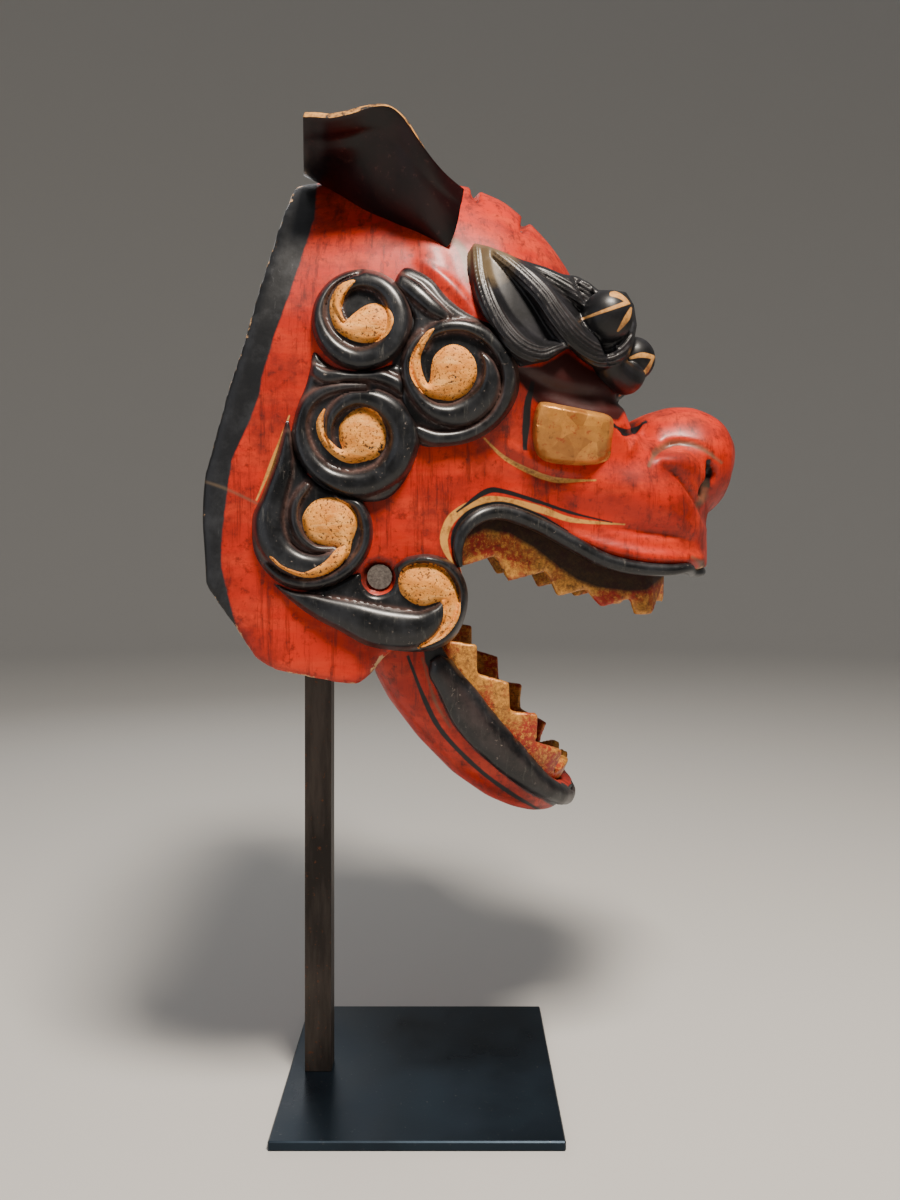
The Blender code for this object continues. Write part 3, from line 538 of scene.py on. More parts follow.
def points_of(data, what="co"):
    """A mesh's vertex places, or its vertex normals, as an array."""
    found = np.empty(len(data.vertices) * 3, np.float32)
    (data.vertices if what == "co" else data.vertex_normals).foreach_get(
        "co" if what == "co" else "vector", found)
    return found.reshape(-1, 3).astype(float)


def keep(data, name, values):
    """Store a number for each vertex, for the material to read."""
    made = data.attributes.new(name, "FLOAT", "POINT")
    made.data.foreach_set("value", values.astype(np.float32))


SHELL_SWELLS = (
    # across, down, half width, height in mm
    ((420, 262, 5, 1.0), (440, 278, 9, 2.4), (462, 298, 9, 2.4), (482, 325, 7, 1.0)),
    ((462, 300, 10, 0.5), (430, 250, 18, 1.2), (405, 215, 14, 0.3)),
    ((560, 492, 20, 1.0), (610, 488, 34, 5.0), (655, 500, 36, 6.0), (688, 522, 24, 3.0)),
    ((500, 440, 5, 0.5), (520, 452, 7, 2.2), (548, 468, 7, 2.0), (585, 472, 6, 0.8)),
    ((560, 530, 4, 0.5), (600, 545, 8, 2.5), (650, 556, 9, 3.5), (698, 558, 8, 3.0)),
    ((660, 462, 10, 2.0), (685, 462, 14, 4.5), (703, 478, 9, 2.0)),
    ((430, 480, 40, 0.5), (455, 470, 42, 2.5), (480, 480, 30, 0.5)),
    ((612, 424, 4, 1.5), (622, 440, 4, 2.0), (624, 456, 4, 0.5)),
    ((643, 424, 3, 1.0), (634, 444, 4, 2.0), (624, 458, 3, 0.5)),
)
SHELL_GROOVES = (
    ((487, 442, 3, -0.3), (500, 455, 4, -1.4), (529, 471, 4, -1.6), (556, 480, 4, -1.2),
     (588, 480, 3, -0.2)),
    ((653, 459, 3, -1.0), (658, 449, 5, -3.0), (672, 443, 5, -3.2), (688, 443, 4, -2.6),
     (704, 448, 4, -2.0), (718, 459, 4, -0.6)),
    ((663, 465, 4, -1.5), (678, 476, 5, -2.8), (690, 491, 5, -3.2), (700, 508, 5, -2.8),
     (705, 526, 4, -1.0)),
    ((600, 526, 5, -0.5), (637, 531, 6, -2.2), (672, 535, 6, -2.2), (692, 542, 4, -0.8)),
    ((709, 462, 3, -3.0), (711, 474, 7, -8.0), (706, 484, 5, -6.0), (702, 494, 5, -3.0)),
    ((288, 418, 2, -0.3), (276, 452, 4, -1.2), (262, 488, 3, -0.8), (256, 500, 2, -0.2)),
    ((520, 372, 10, -2.0), (560, 392, 14, -4.0), (605, 398, 14, -4.0), (632, 402, 8, -1.0)),
    ((524, 392, 3, -0.4), (520, 420, 3, -1.0), (524, 446, 3, -0.4)),
    ((474, 184, 5, -4.0), (476, 194, 5, -7.5), (479, 202, 4, -1.0)),
    ((527, 214, 5, -4.0), (525, 225, 5, -7.0), (523, 233, 4, -1.0)),
    ((615, 425, 4, -0.5), (628, 434, 6, -2.5), (641, 426, 4, -1.0)),
)
REAR_BAND = (
    (330, 40), (314, 219), (297, 271), (288, 299), (273, 340), (262, 377), (260, 393),
    (245, 432), (232, 460), (227, 493), (222, 532), (221, 566), (227, 592), (237, 631),
    (254, 656), (150, 700), (120, 40),
)
# The red under the brow's overhang, darkened to maroon as painted shade
UNDER_BROW_SHADOW = (
    (520, 366), (541, 366), (566, 352), (590, 368), (608, 376), (634, 345), (648, 368),
    (641, 388), (630, 403), (619, 421), (604, 418), (587, 414), (562, 411), (541, 408),
    (532, 398), (524, 388), (512, 372),
)
GOLD_LINES = (
    ((452, 562, 1.0, 0), (446, 550, 3.0, 0), (444, 536, 4.0, 0), (452, 518, 4.5, 0),
     (472, 505, 4.5, 0), (496, 500, 4.0, 0), (539, 509, 3.5, 0), (572, 520, 2.5, 0),
     (618, 524, 0.8, 0)),
    ((489, 443, 0.8, 0), (505, 458, 2.0, 0), (529, 471, 2.6, 0), (556, 480, 2.6, 0),
     (588, 480, 1.0, 0)),
    ((287, 422, 0.6, 0), (275, 455, 2.2, 0), (259, 494, 0.8, 0)),
)
INK_LINES = (
    ((462, 508, 1.0, 0), (485, 492, 3.0, 0), (502, 491, 2.6, 0), (539, 502, 1.8, 0),
     (572, 513, 1.5, 0), (606, 521, 0.7, 0)),
    ((532, 388, 2.5, 0), (528, 402, 3.6, 0), (526, 425, 3.6, 0), (525, 443, 2.2, 0)),
    ((616, 427, 2.0, 0), (628, 432, 3.5, 0), (641, 425, 1.5, 0)),
    # Painted shade: the nostril's hole is filled in black
    ((710, 466, 2.5, 0), (711, 474, 4.5, 0), (709, 481, 3.0, 0)),
    # These two blacken the gaps between the curls: partly the black field round the curls, partly
    # painted shade where the curls close in
    ((409, 288, 7, 0), (411, 312, 8, 0), (405, 340, 9, 0), (399, 364, 8, 0)),
    ((316, 482, 5, 0), (334, 495, 5, 0), (352, 501, 3, 0)),
)
SEAM_LINES = (
    ((457, 560, 1.5, 0), (453, 545, 2.4, 0), (456, 529, 3.0, 0), (468, 514, 3.2, 0),
     (487, 506, 3.2, 0), (507, 505, 2.8, 0), (539, 516, 2.2, 0), (562, 528, 1.0, 0)),
)
DUST_LINES = (
    ((651, 461, 1.5, 0), (658, 449, 3.0, 0), (672, 442, 3.0, 0), (688, 443, 2.6, 0),
     (704, 449, 2.6, 0), (717, 459, 1.5, 0)),
    ((706, 486, 3.0, 0), (703, 498, 4.0, 0), (700, 506, 1.5, 0)),
    ((446, 236, 1.0, 0), (456, 243, 3.5, 0), (465, 256, 4.0, 0), (467, 276, 2.0, 0)),
    ((694, 560, 1.5, 0), (702, 566, 3.0, 0), (697, 578, 3.0, 0)),
    ((199, 480, 0.9, 0), (224, 488, 0.9, 0), (252, 501, 0.7, 0)),
)
EDGE_OUT = 0.112
# The chiselled wood sways: waves to the metre, and their height in mm
SWAYS = ((24, 0.6), (70, 0.25))
# The cheek is cut back round the dowel: in pixels, and in mm
PIN_PIXEL = (378.5, 577)
PIN_REACH = 17.5
PIN_SINK = 6.0
# How far inside a painted outline a place lies that the paint never reaches
NOWHERE = -9.0

edge = [at_depth(pixel, EDGE_OUT) if pixel[0] > 700 or pixel[1] < 100 else landed(pixel)
        for pixel in CHEEK_EDGE]
shell = made_object(head_skin(0.0, FORM_START, FORM_END), "head_shell_carved")
combine(shell, (
    ("UNION", nose_skin()),
    ("DIFFERENCE", head_skin(-WALL, -0.20, 0.915)),
    ("INTERSECT", slab([(p.x, p.z) for p in edge], HEAD_HALF * 1.5)),
), SHELL_VOXEL)
soften(shell, 4)
shell_points = points_of(shell.data)
shell_normals = points_of(shell.data, "normal")
shell_pixels = seen_at(shell_points)
outside = np.ones(len(shell_points), bool)
for index, place in enumerate(shell_points):
    found, normal, _, distance = form_tree.find_nearest(Vector(place))
    outside[index] = distance < 0.6 * WALL or (Vector(place) - found).dot(normal) > 0
undulation = np.array([sum(noise_at(Vector(place) * scale) * high for scale, high in SWAYS)
                       for place in shell_points])
relief = np.zeros(len(shell_points))
for rows in SHELL_SWELLS:
    relief += soft_ridge(shell_pixels, rows)
carved = np.zeros(len(shell_points))
for rows in SHELL_GROOVES:
    carved += soft_ridge(shell_pixels, rows)
near_pin = np.hypot(*(shell_pixels - PIN_PIXEL).T)
carved -= PIN_SINK * np.clip((PIN_REACH - near_pin) / 3, 0, 1)
move = np.where(outside, relief + carved + undulation, 0) / 1000
shell_points += shell_normals * move[:, None]
shell.data.vertices.foreach_set("co", shell_points.astype(np.float32).ravel())
soften(shell, 1, 0.3)
keep(shell.data, "rear", polygon_distance(shell_pixels, REAR_BAND))
keep(shell.data, "under", polygon_distance(shell_pixels, UNDER_BROW_SHADOW))
for name, lines in (("gold", GOLD_LINES), ("ink", INK_LINES), ("seam", SEAM_LINES),
                    ("dust", DUST_LINES)):
    keep_lines(shell.data, name, shell_pixels, lines, outside)
keep(shell.data, "rim", polygon_distance(shell_pixels, CHEEK_EDGE))
keep(shell.data, "carved", -carved)
keep(shell.data, "inside", np.where(outside, 0.0, 1.0))


def shell_finish():
    """Old urushi: pigmented lacquer brushed on thick, rubbed, dusty in its hollows and darker
    where they are cut deep.
    """
    lines = ("gold", "ink", "seam", "dust")
    stored = [f"{line}_{part}" for line in lines for part in ("near", "half", "side")]
    made, tree, shader, read = finish("red_urushi_lacquer", 0.42, {
        "cloud": (11, 4, 0.6), "mottle": (38, 8, 0.7), "fine": (160, 8, 0.75),
        "brushed": (46, 8, 0.7, 0.35, 1, 1.6), "scratch": (90, 10, 0.8, 2.2, 1, 0.12),
        "flaking": (75, 9, 0.72),
    }, stored=("rear", "under", "carved", "inside", "rim", *stored), coat=0.12)
    # The painted edges and lines waver, and the lacquer chips more near the open edge
    sums = [
        ("swing", "SUBTRACT", "mottle", 0.5),
        ("wobble", "MULTIPLY", "swing", 5.0),
        ("rear_edge", "ADD", "rear", "wobble"),
        ("under_edge", "ADD", "under", "wobble"),
        ("waver", "MULTIPLY", "wobble", 0.35),
        ("worn_edge", "MULTIPLY", "rim", 0.035),
        ("chips", "SUBTRACT", "flaking", "worn_edge"),
        ("skin", "ADD", "brushed", "fine"),
    ]
    for line in lines:
        sums += [
            (line + "_offset", "ABSOLUTE", line + "_side", 0.0),
            (line + "_room", "SUBTRACT", line + "_half", line + "_offset"),
            (line, "ADD", line + "_room", "waver"),
        ]
    for name, operation, first, second in sums:
        read[name] = add(tree, "ShaderNodeMath", {
            0: read[first], 1: read.get(second, second),
        }, operation=operation).outputs[0]
    dress(tree, shader, read, (
        "#C42404",
        ("#A01A05", ("cloud", 0.38, 0.62, 1)),
        ("#CC3C1C", ("brushed", 0.46, 0.60, 0.5)),
        ("#64140A", ("mottle", 0.47, 0.62, 0.7)),
        ("#4A120A", ("fine", 0.54, 0.64, 0.65)),
        ("#2E100C", ("scratch", 0.52, 0.60, 0.55)),
        (("#17181A", ("#3C3E42", ("mottle", 0.45, 0.7, 0.6)),
          ("#8A8A8C", ("scratch", 0.62, 0.7, 0.5))), ("rear_edge", -0.9, 0.9, 1)),
        # Painted shade: dark maroon over the red under the brow's overhang
        ("#35100E", ("under_edge", -1.6, 1.6, 1)),
        (("#C98F45", ("#7A4A22", ("fine", 0.5, 0.62, 0.7))),
         ("gold", -0.5, 0.5, 1), ("gold_near", 8.0, 6.5, 1)),
        ("#161517", ("ink", -0.5, 0.5, 1), ("ink_near", 8.0, 6.5, 1)),
        ("#161517", ("seam", -0.5, 0.5, 1), ("seam_near", 8.0, 6.5, 1)),
        ("#66543F", ("dust", -1.6, 1.6, 0.75), ("dust_near", 8.0, 6.5, 1)),
        # Darker where the chisel cut deeper
        ("#2E1512", ("carved", 0.6, 3.0, 0.8), ("mottle", 0.3, 0.6, 1)),
        (("#4A3626", ("#2C1F16", ("scratch", 0.4, 0.62, 1))), ("inside", 0.3, 0.7, 1)),
        (("#E0B98A", ("#A87850", ("fine", 0, 1, 1))), ("chips", 0.46, 0.49, 1)),
    ), "skin", 0.18, 0.0008, shine=("mottle", 0.3, 0.7, 0.34, 0.58))
    return made


red_lacquer = shell_finish()
shell.data.materials.append(red_lacquer)
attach(shell, "head")
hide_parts("head_shell")


# Curls
# The hair is carved in spiral locks that stand proud of the cheek, five a side, in black
# lacquer. Each lock is a rounded ridge that winds in towards the gold comma at its middle.
# Steps and outlines are in pixels, heights over the form in mm, and sinks in metres
PATCH_STEP = 1.4
PATCH_SINK = 0.0018
CREASE = math.radians(55)


def circle(across, down, wide, high, sides=40):
    turns = np.arange(sides) / sides * math.tau
    return [(across + wide * math.cos(t), down + high * math.sin(t)) for t in turns]


def patch(name, outline, lift, tree=form_tree, step=PATCH_STEP, sink=PATCH_SINK):
    """A carved piece that lies on a form inside an outline of pixels.

    lift gives its height in mm over the form for an array of pixels.
    """
    outline = np.array(outline, float)
    low, high = outline.min(0) - 1, outline.max(0) + 1
    counts = np.ceil((high - low) / step).astype(int)
    made = bmesh.new()
    bmesh.ops.create_grid(made, x_segments=int(counts[0]), y_segments=int(counts[1]), size=0.5)
    pixels = np.array([v.co[:2] for v in made.verts])
    pixels = low + (pixels + 0.5) * (high - low)
    away = polygon_distance(pixels, outline)
    made.verts.ensure_lookup_table()
    gone = [made.verts[i] for i in np.flatnonzero(away < -step * 0.5)]
    kept = np.flatnonzero(away >= -step * 0.5)
    bmesh.ops.delete(made, geom=gone, context="VERTS")
    loose = [v for v in made.verts if not v.link_faces]
    made.verts.ensure_lookup_table()
    keep_rows = np.array([bool(v.link_faces) for v in made.verts])
    bmesh.ops.delete(made, geom=loose, context="VERTS")
    pixels = pixels[kept][keep_rows]
    made.verts.ensure_lookup_table()
    rim = np.array([v.is_boundary for v in made.verts])
    pixels[rim] = snapped(pixels[rim], outline)
    heights = lift(pixels) / 1000
    bases = [landed(pixel, tree) for pixel in pixels]
    rays = [heading(pixel).normalized() for pixel in pixels]
    for vert, base, ray in zip(made.verts, bases, rays):
        vert.co = base + ray * sink
    row_of = made.verts.layers.int.new("row")
    for row, vert in enumerate(made.verts):
        vert[row_of] = row
    fronts = bmesh.ops.extrude_face_region(made, geom=made.faces[:], use_keep_orig=True)["geom"]
    for vert in fronts:
        if isinstance(vert, bmesh.types.BMVert):
            row = vert[row_of]
            vert.co = bases[row] - rays[row] * max(heights[row], 0)
    bmesh.ops.recalc_face_normals(made, faces=made.faces)
    piece = made_object(made, name)
    piece.data.set_sharp_from_angle(angle=CREASE)
    return piece


def snapped(pixels, outline):
    """The nearest places on a closed outline."""
    best = np.full(len(pixels), 1e9)
    found = pixels.copy()
    for a, b in zip(outline, np.roll(outline, -1, axis=0)):
        run = b - a
        t = np.clip((pixels - a) @ run / max(run @ run, 1e-9), 0, 1)
        near = a + t[:, None] * run
        distance = np.hypot(*(pixels - near).T)
        closer = distance < best
        best = np.where(closer, distance, best)
        found[closer] = near[closer]
    return found


def mirrored(piece, name):
    """The same piece on the lion's other side."""
    made = bmesh.new()
    made.from_mesh(piece.data)
    bmesh.ops.scale(made, vec=(1, -1, 1), verts=made.verts)
    bmesh.ops.reverse_faces(made, faces=made.faces)
    twin = made_object(made, name)
    for material in piece.data.materials:
        twin.data.materials.append(material)
    twin.data.set_sharp_from_angle(angle=CREASE)
    return twin


def fit_pair(piece, body, node, material):
    """Dress a right piece, make its left twin, and tie both to the model."""
    piece.data.materials.clear()
    piece.data.materials.append(material)
    twin = mirrored(piece, piece.name.replace("right", "left"))
    for side, found in (("right", piece), ("left", twin)):
        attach(found, body)
        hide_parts(node.replace("right", side))


CURL_BASE = 3.0
CURL_FALL = 5.0
CURLS = (
    {
        "outline": circle(362, 320, 50.5, 51),
        "ridges": (
            ((344, 320, 2, 3.0), (337, 305, 4, 4.5), (344, 288, 7, 5.5), (360, 279, 9, 6.5),
             (379, 283, 10, 7.0), (393, 297, 11, 7.0), (399, 317, 12, 7.0),
             (394, 339, 12, 7.0), (379, 354, 12, 7.0), (357, 359, 11, 6.5),
             (337, 350, 10, 6.0), (323, 334, 9, 5.5), (317, 314, 8, 5.0),
             (322, 293, 7, 4.5), (336, 278, 5, 3.0), (356, 271, 3, 1.5)),
        ),
    },
    {
        "outline": (
            (404, 268), (420, 272), (434, 281), (446, 296), (462, 309), (479, 318), (497, 329),
            (510, 345), (518, 365), (519, 391), (508, 414), (490, 432), (468, 443),
            (446, 447), (422, 446), (410, 432), (402, 412), (399, 392), (398, 372),
            (402, 352), (410, 334), (414, 318), (402, 300), (394, 285),
        ),
        "ridges": (
            ((396, 277, 6, 2.5), (414, 290, 9, 4.5), (432, 306, 8, 4.0), (446, 316, 5, 2.0)),
            ((424, 345, 5, 3.0), (430, 333, 6, 4.0), (446, 326, 7, 5.0), (466, 326, 7, 5.5),
             (486, 335, 8, 5.5), (501, 351, 8, 5.5), (509, 372, 8, 5.5), (507, 395, 8, 5.5),
             (497, 415, 8, 5.5), (480, 429, 8, 5.5), (459, 437, 8, 5.0), (436, 438, 8, 4.5),
             (418, 431, 6, 3.0)),
            ((482, 353, 1.5, 2.5), (489, 364, 6, 5.5), (491, 380, 10, 7.0), (485, 397, 13, 7.5),
             (470, 410, 14, 7.5), (452, 415, 12, 7.0), (434, 411, 9, 6.5), (420, 400, 7, 6.0),
             (410, 384, 6, 5.5), (406, 366, 5, 5.0), (411, 348, 5, 4.5), (422, 334, 4, 3.0)),
        ),
    },
    {
        "outline": (
            (314, 352), (328, 364), (346, 370), (372, 370), (396, 364), (404, 376), (404, 396),
            (410, 412), (421, 428), (419, 448), (407, 477), (390, 497), (368, 502),
            (345, 497), (323, 486), (306, 472), (295, 454), (291, 436), (294, 418),
            (299, 402), (305, 388), (310, 370),
        ),
        "ridges": (
            ((310, 366, 5, 2.5), (326, 376, 7, 4.0), (350, 374, 7, 4.0), (375, 375, 7, 4.0),
             (398, 384, 7, 4.5), (413, 399, 6, 4.0), (423, 415, 5, 2.5)),
            ((332, 446, 2.5, 3.0), (329, 430, 4, 4.5), (333, 414, 6, 5.5), (345, 402, 8, 6.5),
             (362, 397, 10, 7.0), (382, 403, 12, 7.5), (397, 417, 14, 7.5),
             (404, 436, 15, 7.5), (400, 456, 15, 7.5), (388, 472, 14, 7.5),
             (370, 482, 14, 7.0), (348, 484, 13, 6.5), (326, 477, 12, 6.0),
             (310, 462, 11, 5.5), (302, 443, 9, 5.0), (300, 424, 8, 4.5), (306, 406, 7, 4.0),
             (320, 393, 6, 3.5), (340, 387, 5, 3.0), (365, 386, 3.5, 1.5)),
        ),
    },
    {
        "outline": (
            (287, 420), (292, 436), (297, 456), (308, 474), (322, 487), (342, 495),
            (360, 499), (369, 512), (373, 526), (372, 543), (364, 561), (352, 575),
            (333, 586), (308, 591), (284, 586), (266, 572), (255, 554), (252, 534),
            (253, 514), (261, 497), (270, 472), (279, 445),
        ),
        "ridges": (
            ((287, 434, 4, 2.0), (284, 465, 9, 4.5), (273, 497, 13, 6.0), (268, 523, 15, 6.5),
             (276, 548, 15, 6.5), (295, 563, 14, 6.5), (318, 566, 12, 6.0),
             (337, 557, 9, 5.0), (345, 546, 3, 2.5)),
            ((307, 486, 4, 3.0), (296, 502, 5, 5.0), (294, 519, 5, 5.5), (300, 536, 5, 5.5),
             (315, 548, 4, 4.5), (334, 549, 3, 2.5)),
            ((340, 495, 5, 3.0), (359, 505, 6, 4.5), (367, 525, 7, 5.0), (366, 545, 7, 5.5),
             (355, 563, 7, 5.5), (337, 577, 7, 5.0), (312, 584, 6, 4.0), (285, 580, 5, 3.0),
             (266, 567, 4, 1.5)),
        ),
    },
    {
        "outline": (
            (274, 584), (292, 590), (308, 591), (330, 586), (348, 577), (360, 573),
            (362, 584), (370, 593), (380, 595), (391, 590), (396, 578), (394, 568),
            (400, 561), (410, 556), (429, 554), (449, 560), (462, 574), (468, 594),
            (465, 617), (455, 637), (438, 649), (418, 652), (390, 650), (365, 645),
            (340, 631), (318, 620), (296, 605),
        ),
        "ridges": (
            ((286, 592, 4, 1.5), (318, 606, 11, 4.0), (352, 618, 17, 5.5),
             (386, 628, 20, 6.5), (418, 628, 17, 6.0), (438, 614, 9, 4.5),
             (444, 602, 3, 2.5)),
            ((396, 580, 4, 3.0), (401, 565, 5, 4.5), (421, 558, 5, 5.5), (443, 563, 5, 5.5),
             (458, 577, 5, 5.5), (464, 597, 5, 5.5), (459, 620, 5, 5.5), (446, 639, 5, 4.0),
             (422, 649, 3, 2.5)),
        ),
    },
)


def scroll_profile(pixels, rows):
    """A ridge with a broad back and steep sides, and how near a pixel lies to its foot."""
    distance, half, height, _ = stroke(pixels, rows)
    share = distance / half
    return (height * np.clip(1 - share ** 2.6, 0, 1) ** 0.6,
            np.exp(-((share - 1.05) * half / 2.4) ** 2))


def curl_lift(number):
    """The height of a curl over the cheek at an array of pixels."""
    curl = CURLS[number]

    def lift(pixels):
        depth = polygon_distance(pixels, closed_path(curl["outline"]))
        flat = CURL_BASE * np.sqrt(np.clip(depth / CURL_FALL, 0, 1))
        ridges = np.max([scroll_profile(pixels, rows)[0] for rows in curl["ridges"]], axis=0)
        return flat + ridges * np.clip(depth / 4, 0, 1) ** 0.5
    return lift


def closed_path(outline, steps=4):
    """A smooth ring through the points of an outline."""
    ring = smooth_path(list(outline[-2:]) + list(outline) + list(outline[:2]), steps)
    return ring[2 * steps:-(steps + 1)]


def black_finish():
    """Black lacquer, worn satin, with pale dust in its hollows and fine scratches."""
    made, tree, shader, read = finish("black_urushi_lacquer", 0.34, {
        "mottle": (55, 8, 0.7), "fine": (420, 6, 0.7), "scratch": (150, 10, 0.8, 1.8, 1, 0.25),
    }, stored=("dusty",), coat=0.3)
    dress(tree, shader, read, (
        "#0F1012",
        ("#26282C", ("mottle", 0.42, 0.62, 0.7)),
        ("#66645F", ("scratch", 0.56, 0.66, 0.45)),
        ("#8C8078", ("fine", 0.64, 0.68, 0.6)),
        ("#5E453E", ("dusty", 0, 1, 1), ("mottle", 0.36, 0.60, 0.8)),
    ), "mottle", 0.25, 0.0008, shine=("mottle", 0.3, 0.7, 0.24, 0.48))
    return made


black_lacquer = black_finish()
for number, curl in enumerate(CURLS):
    piece = patch(f"curl_carved_right_{number + 1}", closed_path(curl["outline"]),
                  curl_lift(number))
    dusty = np.zeros(len(piece.data.vertices))
    for rows in curl["ridges"]:
        dusty = np.maximum(dusty, scroll_profile(seen_at(points_of(piece.data)), rows)[1])
    keep(piece.data, "dusty", dusty)
    fit_pair(piece, "head", f"curl_right_{number + 1}", black_lacquer)


# Gold commas
# The dot and tail in each curl's middle, carved as low bosses and painted with ochre and
# brass powder, brush marks and pits showing, in places worn to the black below.
COMMA_HEIGHT = 5.2
COMMA_ROUND = 6.5
COMMA_SLOPE = 0.14
COMMA_FLAT = 18
COMMAS = (
    ((356, 280), (346, 281), (336, 288), (330, 301), (330, 316), (335, 329), (346, 338),
     (360, 343), (373, 343), (384, 338), (391, 330), (394, 320), (391, 311), (384, 305),
     (374, 303), (364, 306), (354, 313), (347, 319), (344, 318), (342, 311), (344, 301),
     (348, 291)),
    ((435, 328), (427, 331), (419, 341), (412, 353), (409, 366), (411, 378), (418, 389),
     (428, 397), (439, 400), (452, 401), (464, 396), (472, 388), (477, 376), (476, 362),
     (470, 352), (462, 346), (452, 344), (442, 348), (434, 356), (431, 366), (430, 378),
     (428, 383), (425, 378), (422, 369), (421, 358), (425, 346), (430, 337)),
    ((327, 405), (321, 412), (316, 422), (317, 434), (323, 446), (333, 456), (343, 462),
     (353, 464), (364, 462), (375, 459), (382, 453), (386, 443), (386, 429), (381, 417),
     (376, 411), (366, 407), (355, 409), (345, 417), (339, 427), (339, 440), (342, 448),
     (339, 448), (333, 443), (327, 436), (324, 427), (324, 416)),
    ((302, 518), (306, 509), (314, 501), (326, 497), (338, 498), (349, 504), (356, 513),
     (358, 523), (356, 532), (352, 544), (349, 556), (340, 566), (328, 574), (314, 578),
     (300, 577), (287, 572), (276, 565), (268, 556), (273, 557), (282, 565), (294, 570),
     (304, 572), (314, 568), (325, 561), (333, 552), (336, 547), (326, 546), (316, 544),
     (307, 537), (303, 528)),
    ((398, 582), (400, 573), (407, 566), (418, 563), (430, 563), (442, 567), (452, 578),
     (458, 592), (461, 606), (459, 618), (452, 630), (442, 639), (430, 645), (414, 650),
     (421, 644), (430, 638), (437, 631), (442, 621), (443, 609), (441, 603), (436, 603),
     (426, 606), (416, 605), (406, 599), (400, 592)),
)


def comma_finish():
    """Ochre and brass powder in a thin binder, dabbed on: matt, grainy, pitted to the black.

    The pits are finer on the real paint, and are drawn as coarse as they need to show.
    """
    made, tree, shader, read = finish("ochre_and_brass_paint", 0.62, {
        "grain": (110, 8, 0.75), "pits": (620, 4, 0.6), "worn": (42, 8, 0.72),
        "brushed": (150, 6, 0.6, 0.5, 1, 1.8),
    })
    read["pitted"] = add(tree, "ShaderNodeMath", {0: read["grain"], 1: read["pits"]},
                         operation="SUBTRACT").outputs[0]
    dress(tree, shader, read, (
        "#F0A046",
        ("#CC7A28", ("grain", 0.38, 0.62, 1)),
        ("#F6B86C", ("brushed", 0.50, 0.62, 0.5)),
        ("#4A2A12", ("pits", 0.57, 0.61, 0.9)),
        ("#1D1B1B", ("worn", 0.60, 0.615, 1)),
    ), "pitted", 0.5, 0.0008)
    return made


ochre_paint = comma_finish()
for number, outline in enumerate(COMMAS, start=1):
    ring = closed_path(outline)

    def comma_lift(pixels, ring=ring, curl=curl_lift(number - 1)):
        """A rounded boss whose tail climbs over the curl that it lies on."""
        depth = polygon_distance(pixels, ring)
        inward = np.clip(depth / COMMA_ROUND, 0, 1)
        boss = COMMA_HEIGHT * np.sqrt(1 - (1 - inward) ** 2)
        boss += COMMA_SLOPE * np.clip(depth, 0, COMMA_FLAT)
        return np.maximum(boss, curl(pixels) - 0.2 + 1.2 * np.clip(depth / 2, 0, 1))

    piece = patch(f"comma_right_{number}", ring, comma_lift, step=PATCH_STEP * 0.8)
    fit_pair(piece, "head", f"curl_gold_right_{number}", ochre_paint)


# Brows
# Three long locks that sweep from the temple to the bridge and end in two tight balls,
# combed with a narrow gouge, in black lacquer. A gold line and wedge mark each ball.
BROW_OUTLINE = (
    (474, 243), (488, 246), (501, 251), (523, 260), (546, 267), (562, 274),
    (577, 276), (590, 283), (598, 290), (612, 290), (626, 292), (634, 305), (637, 325),
    (634, 342), (629, 356), (618, 370), (607, 374), (596, 370), (580, 359), (569, 348),
    (562, 352), (548, 361), (534, 364), (520, 367), (509, 356), (495, 331), (479, 311),
    (472, 292), (467, 270), (467, 254),
)
# The gouge's lines lie COMB pixels apart. A lock's back falls by LOCK_ROUND of its half width
# to its edge, and its foot by LOCK_FOOT more for each pixel beyond.
COMB = 4.1
COMB_DEEP = 0.0004
LOCK_ROUND = 0.62
LOCK_FOOT = 1.2
ROOT_REACH = 30
BRIDGE_INSIDE = -0.055
BROW_LOCKS = (
    # across, down, half width, how far out its crest lies in mm
    ((477, 250, 5, 105), (480, 276, 8, 111), (488, 302, 11, 116), (502, 328, 13, 118),
     (520, 347, 13, 118), (541, 355, 10, 115), (558, 350, 6, 110), (568, 346, 3, 104)),
    ((498, 254, 6, 99), (520, 272, 9, 104), (541, 293, 12, 107), (558, 317, 14, 108),
     (577, 340, 15, 106), (600, 354, 15, 101), (619, 350, 11, 95), (632, 336, 5, 88)),
    ((512, 260, 6, 94), (542, 272, 9, 95), (568, 286, 13, 96), (590, 300, 14, 98),
     (606, 314, 12, 98)),
)
BROW_ROOTS = ((468, 246), (480, 248), (498, 254), (492, 264))
BALL_PIXEL = (607, 317)
BALL_HALF = 28
BALL_OUT = 0.089
BALL_RADIUS = 0.0158
SECOND_BALL = Vector((0.1378, -0.046, 0.4852))
SECOND_RADIUS = 0.0145
BROW_VOXEL = 0.0009
BALL_MARKS = (
    ((582, 319, 1.0, 0), (604, 311, 1.6, 0), (629, 302, 2.2, 0)),
    ((612, 294, 2.5, 0), (620, 295, 3.5, 0), (628, 302, 1.5, 0)),
    ((631, 308, 1.0, 0), (627, 318, 3.0, 0), (618, 331, 1.0, 0)),
    ((630, 358, 1.2, 0), (642, 355, 2.6, 0), (653, 357, 2.0, 0)),
    ((653, 359, 1.2, 0), (647, 370, 2.2, 0), (639, 378, 1.0, 0)),
)


